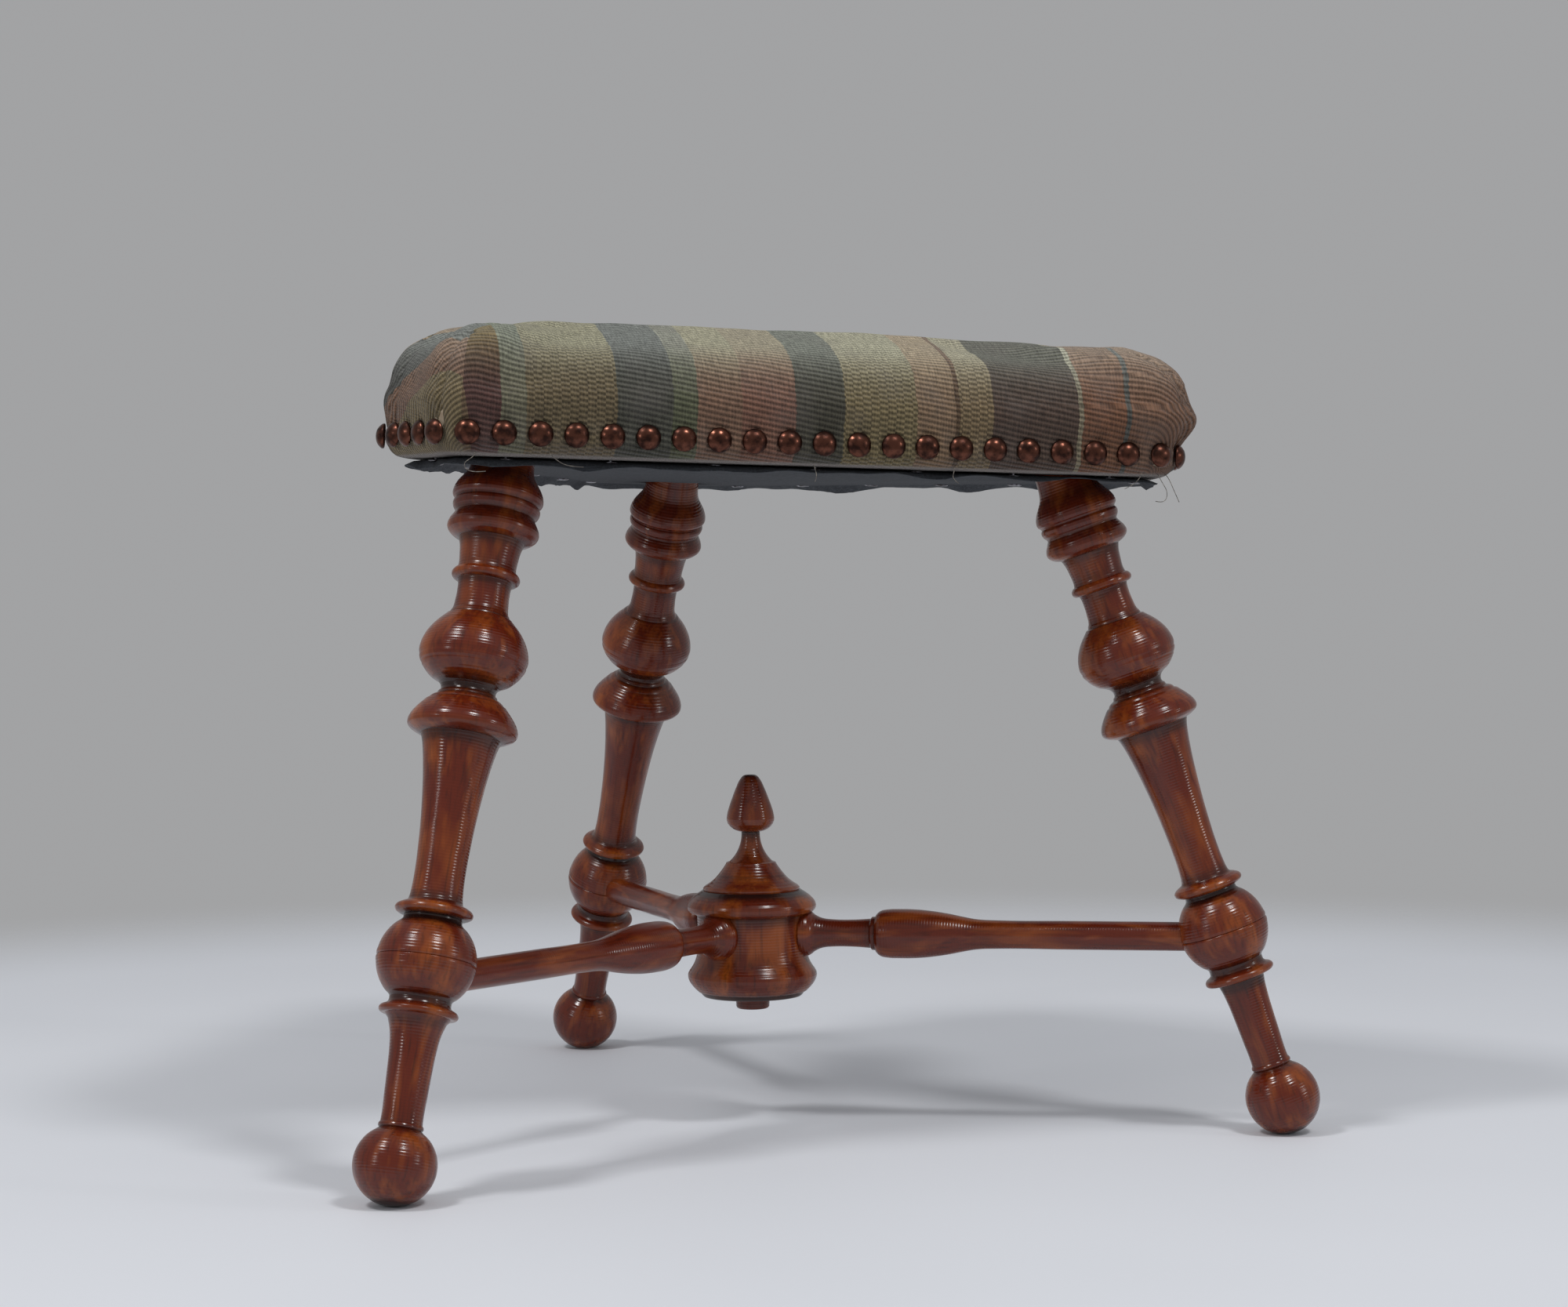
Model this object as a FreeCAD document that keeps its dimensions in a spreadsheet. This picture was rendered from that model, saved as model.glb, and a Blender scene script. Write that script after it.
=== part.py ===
import FreeCAD, Part
import math
import os
import Sketcher

# Three-legged upholstered footstool: raked turned legs, turned stretchers meeting in a hub with an
# acorn finial, and a six-sided padded seat with a close-nailed cover. Millimetres, +Z up, the front
# of the seat faces -Y, and the origin is on the floor under the middle of the footprint.

doc = FreeCAD.newDocument("Footstool")
sheet = doc.addObject("Spreadsheet::Sheet", "Sizes")

DRIVING_SIZES = {
    # Stance
    "bulb_circle_radius": 154.2,
    "bulb_centre_height": 285.0,
    "stretcher_height": 89.5,
    "front_left_foot_radius": 239.0,
    "front_left_foot_turn": 6.4,
    "front_right_foot_radius": 245.0,
    "front_right_foot_turn": 3.5,
    "back_foot_radius": 264.0,
    "back_foot_turn": 4.9,
    # Stations of each leg's lower ball, disc and shoulder, from the middle of its foot ball
    "front_left_ball": 85.5,
    "front_left_disc": 184.8,
    "front_left_shoulder": 308.2,
    "front_right_ball": 81.0,
    "front_right_disc": 180.8,
    "front_right_shoulder": 299.8,
    "back_ball": 83.8,
    "back_disc": 186.6,
    "back_shoulder": 311.8,
    # Foot, stem and lower ball
    "foot_ball_dia": 34.1,
    "foot_flat_depth": 0.5,
    "stem_foot_dia": 17.0,
    "stem_head_dia": 19.6,
    "lower_collar_drop": 23.4,
    "collar_dia": 32.0,
    "collar_thickness": 2.4,
    "collar_flare": 3.6,
    "cove_dia": 23.0,
    "ball_dia": 41.0,
    "upper_collar_rise": 20.2,
    # Column, measured down from the disc
    "column_foot_dia": 20.0,
    "column_waist_dia": 25.2,
    "column_waist_drop": 20.0,
    "column_head_dia": 34.0,
    "column_head_drop": 3.4,
    # Upper turning, rises over the underside of the disc
    "disc_dia": 45.2,
    "disc_edge_rise": 2.4,
    "disc_dome_dia": 40.6,
    "disc_dome_rise": 6.6,
    "disc_shoulder_dia": 32.4,
    "disc_shoulder_rise": 10.6,
    "neck_dia": 22.0,
    "neck_foot_rise": 12.8,
    "lip_dia": 36.0,
    "lip_foot_rise": 21.4,
    "lip_head_rise": 23.8,
    "big_ball_cut_rise": 25.2,
    "big_ball_rise": 32.0,
    "big_ball_dia": 45.4,
    "fillet_dia": 28.6,
    "fillet_head_rise": 50.2,
    "ring_dia": 28.2,
    "ring_foot_rise": 65.4,
    "ring_head_rise": 69.2,
    "throat_dia": 24.0,
    "throat_rise": 75.6,
    "throat_head_dia": 31.4,
    "throat_head_rise": 85.4,
    "upper_disc_dia": 38.2,
    "upper_disc_foot_rise": 87.2,
    "upper_disc_head_rise": 90.2,
    "groove_dia": 31.4,
    "groove_rise": 94.0,
    "bulb_ease_dia": 35.6,
    "bulb_foot_rise": 95.2,
    "bulb_dia": 38.4,
    "bulb_full_rise": 98.2,
    "bulb_fade_rise": 101.8,
    "bulb_head_rise": 105.0,
    "top_cove_dia": 29.4,
    "top_cove_rise": 109.4,
    "tenon_dia": 25.4,
    "tenon_foot_rise": 115.4,
    # Stretchers, distances from the axis of the hub
    "stretcher_tenon_dia": 11.0,
    "stretcher_tenon_inner": 9.0,
    "stretcher_seat": 23.4,
    "stretcher_collar_dia": 21.7,
    "stretcher_collar_end": 28.6,
    "stretcher_cove_dia": 15.4,
    "stretcher_cove_end": 31.4,
    "stretcher_neck_dia": 12.7,
    "stretcher_neck_start": 36.0,
    "stretcher_step_dia": 15.0,
    "stretcher_step_start": 57.4,
    "bobbin_foot_dia": 19.6,
    "bobbin_start": 59.4,
    "bobbin_dia": 22.8,
    "bobbin_full": 65.0,
    "bobbin_fade": 77.0,
    "bobbin_waist_dia": 19.0,
    "bobbin_waist": 92.0,
    "rod_dia": 13.2,
    "rod_start": 107.0,
    "rod_socket_depth": 12.0,
    "wood_clearance": 0.1,
    # Hub, heights over the floor
    "hub_bottom": 60.0,
    "hub_base_dia": 47.0,
    "hub_base_edge": 61.8,
    "hub_ring_dia": 60.2,
    "hub_ring_bottom": 67.4,
    "hub_ring_top": 71.4,
    "barrel_dia": 51.0,
    "barrel_bottom": 76.6,
    "barrel_top": 98.2,
    "hub_cap_bottom": 100.0,
    "hub_cap_top": 104.6,
    "hub_top_dia": 46.6,
    "hub_top": 109.4,
    # Button under the hub, depths below its bottom
    "button_flare_dia": 20.4,
    "button_dia": 15.7,
    "button_neck_depth": 2.6,
    "button_depth": 6.2,
    "button_peg_dia": 8.0,
    "button_peg_length": 10.0,
    # Finial, heights over the top of the hub
    "finial_base_dia": 45.0,
    "finial_base_edge": 1.8,
    "finial_cone_dia": 31.5,
    "finial_cone_height": 7.2,
    "finial_collar_dia": 23.3,
    "finial_collar_bottom": 11.4,
    "finial_collar_top": 13.0,
    "finial_flare_dia": 18.6,
    "finial_flare_height": 14.2,
    "finial_waist_dia": 11.6,
    "finial_waist_height": 19.2,
    "finial_neck_dia": 8.4,
    "finial_neck_height": 27.6,
    "acorn_foot_dia": 15.4,
    "acorn_foot_height": 28.2,
    "acorn_dia": 22.1,
    "acorn_full_height": 32.6,
    "acorn_shoulder_dia": 19.4,
    "acorn_shoulder_height": 39.4,
    "acorn_upper_dia": 12.6,
    "acorn_upper_height": 48.6,
    "acorn_tip_dia": 5.4,
    "acorn_tip_height": 53.9,
    "finial_peg_dia": 9.0,
    "finial_peg_length": 13.0,
    # Seat board, corners from the axis of the hub, and the wedges of the leg tenons
    "board_thickness": 20.0,
    "board_front_left": 163.4,
    "board_front_right": 166.5,
    "board_front_depth": 118.4,
    "board_side_left": 176.5,
    "board_side_right": 185.0,
    "board_side_depth": 49.0,
    "board_back_half": 37.0,
    "board_back_depth": 193.2,
    "board_corner_radius": 18.0,
    "board_bevel": 4.0,
    "wedge_length": 16.0,
    "wedge_thickness": 3.6,
    "wedge_tip_thickness": 1.2,
    "wedge_side_gap": 0.6,
    # Upholstery, heights over the underside of the board
    "lining_thickness": 0.6,
    "cover_thickness": 1.2,
    "pad_edge_height": 28.0,
    "pad_roll_inset": 5.4,
    "pad_roll_height": 39.0,
    "pad_shoulder_inset": 13.2,
    "pad_shoulder_height": 46.6,
    "pad_slope_inset": 26.0,
    "pad_slope_height": 52.4,
    "pad_top_inset": 42.0,
    "pad_top_height": 55.8,
    "crown_share": 0.45,
    "crown_height": 58.0,
    "corner_softening": 0.1,
    "hem_width": 20.0,
    "dust_cover_thickness": 0.6,
    "dust_cover_inset": 8.0,
    "dust_cover_leg_gap": 0.5,
    # Nails and tacks
    "nail_head_dia": 11.0,
    "nail_shoulder_dia": 8.8,
    "nail_shoulder_height": 2.0,
    "nail_crown_dia": 3.8,
    "nail_crown_height": 3.4,
    "nail_line_height": 8.4,
    "nail_pitch": 15.7,
    "nail_shank_width": 1.6,
    "nail_shank_length": 13.0,
    "shank_tip_width": 0.5,
    "tack_head_dia": 7.0,
    "tack_top_dia": 5.4,
    "tack_head_height": 0.9,
    "tack_pitch": 46.0,
    "tack_shank_length": 11.0,
    "tack_edge_distance": 5.0,
}

for row, (alias, number) in enumerate(DRIVING_SIZES.items(), 1):
    sheet.set("A%d" % row, alias.replace("_", " "))
    sheet.set("B%d" % row, str(number))
    sheet.setAlias("B%d" % row, alias)
doc.recompute()

# Distances that follow from the stance, as expressions of the sheet's sizes: how far from the axis
# of the hub each stretcher meets the axis of its leg, and where the floor of its socket is
LEG_AZIMUTHS = {"front_left": 210.0, "front_right": -30.0, "back": 90.0}
LEG_SHARE = "((Sizes.stretcher_height - Sizes.foot_ball_dia / 2 + Sizes.foot_flat_depth) / " \
    "(Sizes.bulb_centre_height - Sizes.foot_ball_dia / 2 + Sizes.foot_flat_depth))"
LEG_REACH = "sqrt(pow(Sizes.{1}_foot_radius * (1 - {0}); 2)" \
    " + pow(Sizes.bulb_circle_radius * {0}; 2)" \
    " + 2 * Sizes.{1}_foot_radius * Sizes.bulb_circle_radius" \
    " * (1 - {0}) * {0} * cos(Sizes.{1}_foot_turn))"
FOLLOWING = {}
for leg in LEG_AZIMUTHS:
    reach = LEG_REACH.format(LEG_SHARE, leg)
    FOLLOWING[leg + "_socket_floor"] = reach + " - Sizes.ball_dia / 2 + Sizes.rod_socket_depth"


def size(words):
    """The value of a sum of sizes, such as "back_disc + disc_edge_rise"."""
    total = 0.0
    sign = 1.0
    for word in words.split():
        if word in ("+", "-"):
            sign = 1.0 if word == "+" else -1.0
        elif word in FOLLOWING:
            total += sign * sheet.evalExpression(FOLLOWING[word])
        else:
            total += sign * sheet.get(word)
    return total


def bound(words):
    """The same sum as an expression that reads the sheet."""
    terms = []
    for word in words.split():
        if word in ("+", "-"):
            terms.append(word)
        else:
            terms.append(FOLLOWING.get(word, "Sizes." + word))
    return " ".join(terms)


def polar(radius, degrees, height):
    angle = math.radians(degrees)
    return FreeCAD.Vector(radius * math.cos(angle), radius * math.sin(angle), height)


# Turned pieces
# A turning is a closed half profile, revolved about the piece's own Z axis. Each corner is a
# diameter and a station, and "" is the axis. A ("ball", centre, diameter) between two corners is a
# ball centred on the axis, and the corner beside it leaves open what the ball decides.
def ball_corner(corner, ball, side):
    centre = size(ball[1])
    radius = size(ball[2]) / 2
    if corner[1] is None:
        across = size(corner[0]) / 2
        return across, centre + side * math.sqrt(radius ** 2 - across ** 2)
    rise = size(corner[1]) - centre
    return math.sqrt(radius ** 2 - rise ** 2), size(corner[1])


def profile_points(rows):
    points = []
    for index, corner in enumerate(rows):
        below = rows[index - 1] if index > 0 else corner
        above = rows[index + 1] if index + 1 < len(rows) else corner
        if corner[0] == "ball":
            points.append(None)
        elif above[0] == "ball":
            points.append(ball_corner(corner, above, -1))
        elif below[0] == "ball":
            points.append(ball_corner(corner, below, 1))
        else:
            points.append((size(corner[0]) / 2, size(corner[1])))
    return points


def dimension(sketch, kind, geometry, point, words, share=""):
    value = size(words) / (2 if share else 1)
    if kind == "Radius":
        index = sketch.addConstraint(Sketcher.Constraint(kind, geometry, value))
    else:
        index = sketch.addConstraint(Sketcher.Constraint(kind, -1, 1, geometry, point, value))
    sketch.setExpression("Constraints[%d]" % index, "(" + bound(words) + ")" + share)


def origin_plane(body, role):
    return next(plane for plane in body.Origin.OriginFeatures if plane.Role == role)


def new_sketch(body, name, role):
    sketch = body.newObject("Sketcher::SketchObject", name)
    sketch.AttachmentSupport = (origin_plane(body, role), [""])
    sketch.MapMode = "FlatFace"
    return sketch


def turned(name, rows):
    body = doc.addObject("PartDesign::Body", name)
    sketch = new_sketch(body, name + "_profile", "XZ_Plane")
    points = profile_points(rows)
    corners = [index for index, corner in enumerate(rows) if corner[0] != "ball"]
    edges = {}
    for here, after in zip(corners, corners[1:] + corners[:1]):
        start = FreeCAD.Vector(*points[here], 0)
        end = FreeCAD.Vector(*points[after], 0)
        if after == here + 2:
            ball = rows[here + 1]
            centre = FreeCAD.Vector(0, size(ball[1]), 0)
            circle = Part.Circle(centre, FreeCAD.Vector(0, 0, 1), size(ball[2]) / 2)
            low = math.atan2(start.y - centre.y, start.x)
            high = math.atan2(end.y - centre.y, end.x)
            edges[here] = sketch.addGeometry(Part.ArcOfCircle(circle, low, high), False)
        else:
            edges[here] = sketch.addGeometry(Part.LineSegment(start, end), False)
    for here, after in zip(corners, corners[1:] + corners[:1]):
        sketch.addConstraint(Sketcher.Constraint("Coincident", edges[here], 2, edges[after], 1))
    for here in corners:
        across, station = rows[here]
        if across == "":
            sketch.addConstraint(Sketcher.Constraint("PointOnObject", edges[here], 1, -2))
        elif across is not None:
            dimension(sketch, "DistanceX", edges[here], 1, across, " / 2")
        if station is not None:
            dimension(sketch, "DistanceY", edges[here], 1, station)
        if here + 1 < len(rows) and rows[here + 1][0] == "ball":
            ball = rows[here + 1]
            dimension(sketch, "Radius", edges[here], 0, ball[2], " / 2")
            if ball[1]:
                sketch.addConstraint(Sketcher.Constraint("PointOnObject", edges[here], 3, -2))
                dimension(sketch, "DistanceY", edges[here], 3, ball[1])
            else:
                sketch.addConstraint(Sketcher.Constraint("Coincident", edges[here], 3, -1, 1))
    revolution = body.newObject("PartDesign::Revolution", name + "_turning")
    revolution.Profile = sketch
    revolution.ReferenceAxis = (sketch, ["V_Axis"])
    revolution.Angle = 360
    sketch.Visibility = False
    return body


def drill(name, radius, length, placement):
    """A round cutter of a bound radius and length along the placement's Z axis."""
    cutter = doc.addObject("Part::Cylinder", name)
    cutter.setExpression("Radius", radius)
    cutter.setExpression("Height", length)
    cutter.Placement = placement
    return cutter


def cut(name, base, tools):
    tool = doc.addObject("Part::Compound", name + "_cutters")
    tool.Links = tools
    result = doc.addObject("Part::Cut", name)
    result.Base = base
    result.Tool = tool
    result.Label = name
    return result


# Stance
# The legs lean in from their feet to a smaller circle at their top bulbs. Each foot has its own
# distance from the axis of the hub, and is turned a little about it against the bulb. The axis is
# placed so that the footprint of the foot balls is centred on the origin.
foot_height = size("foot_ball_dia") / 2 - size("foot_flat_depth")
feet = {}
for leg, azimuth in LEG_AZIMUTHS.items():
    turn = size(leg + "_foot_turn")
    feet[leg] = polar(size(leg + "_foot_radius"), azimuth + turn, foot_height)
hub_axis = FreeCAD.Vector(
    -(min(foot.x for foot in feet.values()) + max(foot.x for foot in feet.values())) / 2,
    -(min(foot.y for foot in feet.values()) + max(foot.y for foot in feet.values())) / 2,
    0,
)
UP = FreeCAD.Vector(0, 0, 1)
leg_places = {}
shoulders = {}
stretcher_places = {}
for leg, azimuth in LEG_AZIMUTHS.items():
    bulb = polar(size("bulb_circle_radius"), azimuth, size("bulb_centre_height"))
    along = (bulb - feet[leg]).normalize()
    leg_places[leg] = FreeCAD.Placement(feet[leg] + hub_axis, FreeCAD.Rotation(UP, along))
    shoulders[leg] = feet[leg] + hub_axis + along * size(leg + "_shoulder")
    share = (size("stretcher_height") - foot_height) / (bulb.z - foot_height)
    ball_point = feet[leg] + (bulb - feet[leg]) * share
    outward = FreeCAD.Vector(ball_point.x, ball_point.y, 0).normalize()
    stretcher_places[leg] = FreeCAD.Placement(
        hub_axis + FreeCAD.Vector(0, 0, size("stretcher_height")), FreeCAD.Rotation(UP, outward)
    )

# The seat lies on the three leg shoulders, so legs of unlike length tilt it.
seat_normal = (shoulders["front_right"] - shoulders["front_left"]).cross(
    shoulders["back"] - shoulders["front_left"]
).normalize()
seat_height = shoulders["back"].z - (
    (hub_axis.x - shoulders["back"].x) * seat_normal.x
    + (hub_axis.y - shoulders["back"].y) * seat_normal.y
) / seat_normal.z
seat_place = FreeCAD.Placement(
    FreeCAD.Vector(hub_axis.x, hub_axis.y, seat_height), FreeCAD.Rotation(UP, seat_normal)
)

FAR = "Sizes.back_foot_radius * 4"
floor_block = doc.addObject("Part::Box", "floor_block")
above_board = doc.addObject("Part::Box", "above_board")
for block in (floor_block, above_board):
    block.setExpression("Length", FAR)
    block.setExpression("Width", FAR)
    block.setExpression("Height", "Sizes.board_thickness * 4")
half_far = size("back_foot_radius") * 2
floor_block.Placement.Base = FreeCAD.Vector(-half_far, -half_far, -size("board_thickness") * 4)
above_board.Placement = seat_place * FreeCAD.Placement(
    FreeCAD.Vector(-half_far, -half_far, size("board_thickness")), FreeCAD.Rotation()
)


# Legs
# Each is turned from one length: a ball foot, a slim stem, a ball that takes the stretcher, a
# tapered column under a disc, a large ball, a ringed neck and a bulb, and the neck runs on into the
# board as a round tenon that is sawn flush and spread by a wedge.
def leg_rows(leg):
    ball = leg + "_ball"
    disc = leg + "_disc + "
    lower_collar = ball + " - lower_collar_drop"
    upper_collar = ball + " + upper_collar_rise"
    tenon_end = leg + "_shoulder + board_thickness + board_thickness"
    return [
        ("", None),
        ("ball", "", "foot_ball_dia"),
        ("stem_foot_dia", None),
        ("stem_head_dia", lower_collar + " - collar_flare"),
        ("collar_dia", lower_collar),
        ("collar_dia", lower_collar + " + collar_thickness"),
        ("cove_dia", lower_collar + " + collar_thickness"),
        ("cove_dia", None),
        ("ball", ball, "ball_dia"),
        ("cove_dia", None),
        ("cove_dia", upper_collar),
        ("collar_dia", upper_collar),
        ("collar_dia", upper_collar + " + collar_thickness"),
        ("column_foot_dia", upper_collar + " + collar_thickness + collar_flare"),
        ("column_waist_dia", leg + "_disc - column_waist_drop"),
        ("column_head_dia", leg + "_disc - column_head_drop"),
        ("disc_dia", leg + "_disc"),
        ("disc_dia", disc + "disc_edge_rise"),
        ("disc_dome_dia", disc + "disc_dome_rise"),
        ("disc_shoulder_dia", disc + "disc_shoulder_rise"),
        ("neck_dia", disc + "neck_foot_rise"),
        ("neck_dia", disc + "lip_foot_rise"),
        ("lip_dia", disc + "lip_foot_rise"),
        ("lip_dia", disc + "lip_head_rise"),
        (None, disc + "big_ball_cut_rise"),
        ("ball", disc + "big_ball_rise", "big_ball_dia"),
        ("fillet_dia", None),
        ("fillet_dia", disc + "fillet_head_rise"),
        ("neck_dia", disc + "fillet_head_rise"),
        ("neck_dia", disc + "ring_foot_rise"),
        ("ring_dia", disc + "ring_foot_rise"),
        ("ring_dia", disc + "ring_head_rise"),
        ("neck_dia", disc + "ring_head_rise"),
        ("throat_dia", disc + "throat_rise"),
        ("throat_head_dia", disc + "throat_head_rise"),
        ("upper_disc_dia", disc + "upper_disc_foot_rise"),
        ("upper_disc_dia", disc + "upper_disc_head_rise"),
        ("groove_dia", disc + "groove_rise"),
        ("bulb_ease_dia", disc + "bulb_foot_rise"),
        ("bulb_dia", disc + "bulb_full_rise"),
        ("bulb_dia", disc + "bulb_fade_rise"),
        ("bulb_ease_dia", disc + "bulb_head_rise"),
        ("top_cove_dia", disc + "top_cove_rise"),
        ("tenon_dia", disc + "tenon_foot_rise"),
        ("tenon_dia", tenon_end),
        ("", tenon_end),
    ]


def tenon_wedge(name, leg, width):
    """A wedge in the top of the tenon, left long so that it can be cut flush with the board."""
    wedge = doc.addObject("Part::Wedge", name)
    wedge.setExpression("Xmin", "-Sizes.wedge_tip_thickness / 2")
    wedge.setExpression("Xmax", "Sizes.wedge_tip_thickness / 2")
    wedge.setExpression("X2min", "Sizes.wedge_tip_thickness / 2 - Sizes.wedge_thickness")
    wedge.setExpression("X2max", "Sizes.wedge_thickness - Sizes.wedge_tip_thickness / 2")
    wedge.Ymin = 0
    wedge.setExpression("Ymax", "Sizes.wedge_length * 2")
    for low, high in (("Zmin", "Zmax"), ("Z2min", "Z2max")):
        wedge.setExpression(low, "-(" + width + ") / 2")
        wedge.setExpression(high, "(" + width + ") / 2")
    along = leg_places[leg].Rotation.multVec(UP)
    top = shoulders[leg] + along * (size("board_thickness") / along.dot(seat_normal))
    upright = FreeCAD.Rotation(FreeCAD.Vector(0, 1, 0), UP)
    wedge.Placement = FreeCAD.Placement(
        top - along * size("wedge_length"), leg_places[leg].Rotation * upright
    )
    return wedge


nodes = []
tenon_drills = []
hub_bores = []
for leg in LEG_AZIMUTHS:
    body = turned("turned_leg_" + leg, leg_rows(leg))
    body.Placement = leg_places[leg]
    socket = drill(
        "stretcher_socket_" + leg,
        "Sizes.rod_dia / 2 + Sizes.wood_clearance",
        "Sizes.ball_dia / 2 + Sizes.rod_socket_depth",
        stretcher_places[leg] * FreeCAD.Placement(
            UP * (size(leg + "_socket_floor - rod_socket_depth") - size("ball_dia") / 2),
            FreeCAD.Rotation(),
        ),
    )
    kerf = tenon_wedge("kerf_" + leg, leg, "Sizes.tenon_dia + Sizes.wedge_thickness")
    nodes.append(cut("leg_" + leg, body, [floor_block, above_board, socket, kerf]))
    wedge = tenon_wedge("long_wedge_" + leg, leg, "Sizes.tenon_dia - Sizes.wedge_side_gap * 2")
    nodes.append(cut("tenon_wedge_" + leg, wedge, [above_board]))
    tenon_drills.append(drill(
        "tenon_hole_" + leg,
        "Sizes.tenon_dia / 2 + Sizes.wood_clearance",
        "Sizes.board_thickness * 4",
        FreeCAD.Placement(
            shoulders[leg] - leg_places[leg].Rotation.multVec(UP) * size("board_thickness") * 2,
            leg_places[leg].Rotation,
        ),
    ))

# Stretchers
# Each has a tenon and a spread collar at the hub, a slim neck, a long bobbin and a plain rod whose
# end is let into the lower ball of a leg.
STRETCHER_ROWS = [
    ("", "stretcher_tenon_inner"),
    ("stretcher_tenon_dia", "stretcher_tenon_inner"),
    ("stretcher_tenon_dia", "stretcher_seat"),
    ("stretcher_collar_dia", "stretcher_seat"),
    ("stretcher_collar_dia", "stretcher_collar_end"),
    ("stretcher_cove_dia", "stretcher_cove_end"),
    ("stretcher_neck_dia", "stretcher_neck_start"),
    ("stretcher_neck_dia", "stretcher_step_start"),
    ("stretcher_step_dia", "stretcher_step_start"),
    ("stretcher_step_dia", "bobbin_start"),
    ("bobbin_foot_dia", "bobbin_start"),
    ("bobbin_dia", "bobbin_full"),
    ("bobbin_dia", "bobbin_fade"),
    ("bobbin_waist_dia", "bobbin_waist"),
    ("rod_dia", "rod_start"),
]
for leg, place in stretcher_places.items():
    rod_end = leg + "_socket_floor - wood_clearance"
    stretcher = turned("stretcher_" + leg, STRETCHER_ROWS + [("rod_dia", rod_end), ("", rod_end)])
    stretcher.Placement = place
    nodes.append(stretcher)
    inner = size("stretcher_tenon_inner - wood_clearance")
    hub_bores.append(drill(
        "tenon_bore_" + leg,
        "Sizes.stretcher_tenon_dia / 2 + Sizes.wood_clearance",
        "Sizes.hub_ring_dia",
        place * FreeCAD.Placement(UP * inner, FreeCAD.Rotation()),
    ))
    hub_bores.append(drill(
        "collar_seat_" + leg,
        "Sizes.stretcher_collar_dia / 2 + Sizes.wood_clearance",
        "Sizes.hub_ring_dia",
        place * FreeCAD.Placement(UP * size("stretcher_seat"), FreeCAD.Rotation()),
    ))

# Hub, its button and the finial
# The hub is a turned drum between two rings, bored for the stretchers and for the pegs of the
# finial above and the button below.
hub_body = turned("turned_hub", [
    ("", "hub_bottom"),
    ("hub_base_dia", "hub_bottom"),
    ("hub_base_dia", "hub_base_edge"),
    ("hub_ring_dia", "hub_ring_bottom"),
    ("hub_ring_dia", "hub_ring_top"),
    ("barrel_dia", "barrel_bottom"),
    ("barrel_dia", "barrel_top"),
    ("hub_ring_dia", "hub_cap_bottom"),
    ("hub_ring_dia", "hub_cap_top"),
    ("hub_top_dia", "hub_top"),
    ("", "hub_top"),
])
hub_body.Placement.Base = hub_axis
hub_bores.append(drill(
    "finial_peg_hole",
    "Sizes.finial_peg_dia / 2 + Sizes.wood_clearance",
    "Sizes.finial_peg_length + Sizes.wood_clearance",
    FreeCAD.Placement(
        hub_axis + UP * size("hub_top - finial_peg_length - wood_clearance"), FreeCAD.Rotation()
    ),
))
hub_bores.append(drill(
    "button_peg_hole",
    "Sizes.button_peg_dia / 2 + Sizes.wood_clearance",
    "Sizes.button_peg_length + Sizes.wood_clearance",
    FreeCAD.Placement(hub_axis + UP * size("hub_bottom"), FreeCAD.Rotation()),
))
nodes.append(cut("hub_block", hub_body, hub_bores))

finial = turned("finial", [
    ("", "hub_top - finial_peg_length"),
    ("finial_peg_dia", "hub_top - finial_peg_length"),
    ("finial_peg_dia", "hub_top"),
    ("finial_base_dia", "hub_top"),
    ("finial_base_dia", "hub_top + finial_base_edge"),
    ("finial_cone_dia", "hub_top + finial_cone_height"),
    ("finial_collar_dia", "hub_top + finial_collar_bottom"),
    ("finial_collar_dia", "hub_top + finial_collar_top"),
    ("finial_flare_dia", "hub_top + finial_flare_height"),
    ("finial_waist_dia", "hub_top + finial_waist_height"),
    ("finial_neck_dia", "hub_top + finial_neck_height"),
    ("acorn_foot_dia", "hub_top + acorn_foot_height"),
    ("acorn_dia", "hub_top + acorn_full_height"),
    ("acorn_shoulder_dia", "hub_top + acorn_shoulder_height"),
    ("acorn_upper_dia", "hub_top + acorn_upper_height"),
    ("acorn_tip_dia", "hub_top + acorn_tip_height"),
    ("", "hub_top + acorn_tip_height"),
])
finial.Placement.Base = hub_axis
nodes.append(finial)

button = turned("hub_button", [
    ("", "hub_bottom - button_depth"),
    ("button_dia", "hub_bottom - button_depth"),
    ("button_dia", "hub_bottom - button_neck_depth"),
    ("button_flare_dia", "hub_bottom"),
    ("button_peg_dia", "hub_bottom"),
    ("button_peg_dia", "hub_bottom + button_peg_length"),
    ("", "hub_bottom + button_peg_length"),
])
button.Placement.Base = hub_axis
nodes.append(button)

# Seat board
# Six sides: a long front, two long sides that run back to a narrow end, and two short canted sides
# at the front corners. Its own frame has its underside at height 0 over the axis of the hub.
BOARD_CORNERS = [
    ("-", "board_front_left", "-", "board_front_depth"),
    ("", "board_front_right", "-", "board_front_depth"),
    ("", "board_side_right", "-", "board_side_depth"),
    ("", "board_back_half", "", "board_back_depth"),
    ("-", "board_back_half", "", "board_back_depth"),
    ("-", "board_side_left", "-", "board_side_depth"),
]
SIDE_NAMES = ["front", "right_corner", "right_side", "back", "left_side", "left_corner"]
board_points = []
for left, across, ahead, deep in BOARD_CORNERS:
    x = size(across) * (-1 if left else 1)
    y = size(deep) * (-1 if ahead else 1)
    board_points.append(FreeCAD.Vector(x, y, 0))

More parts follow.
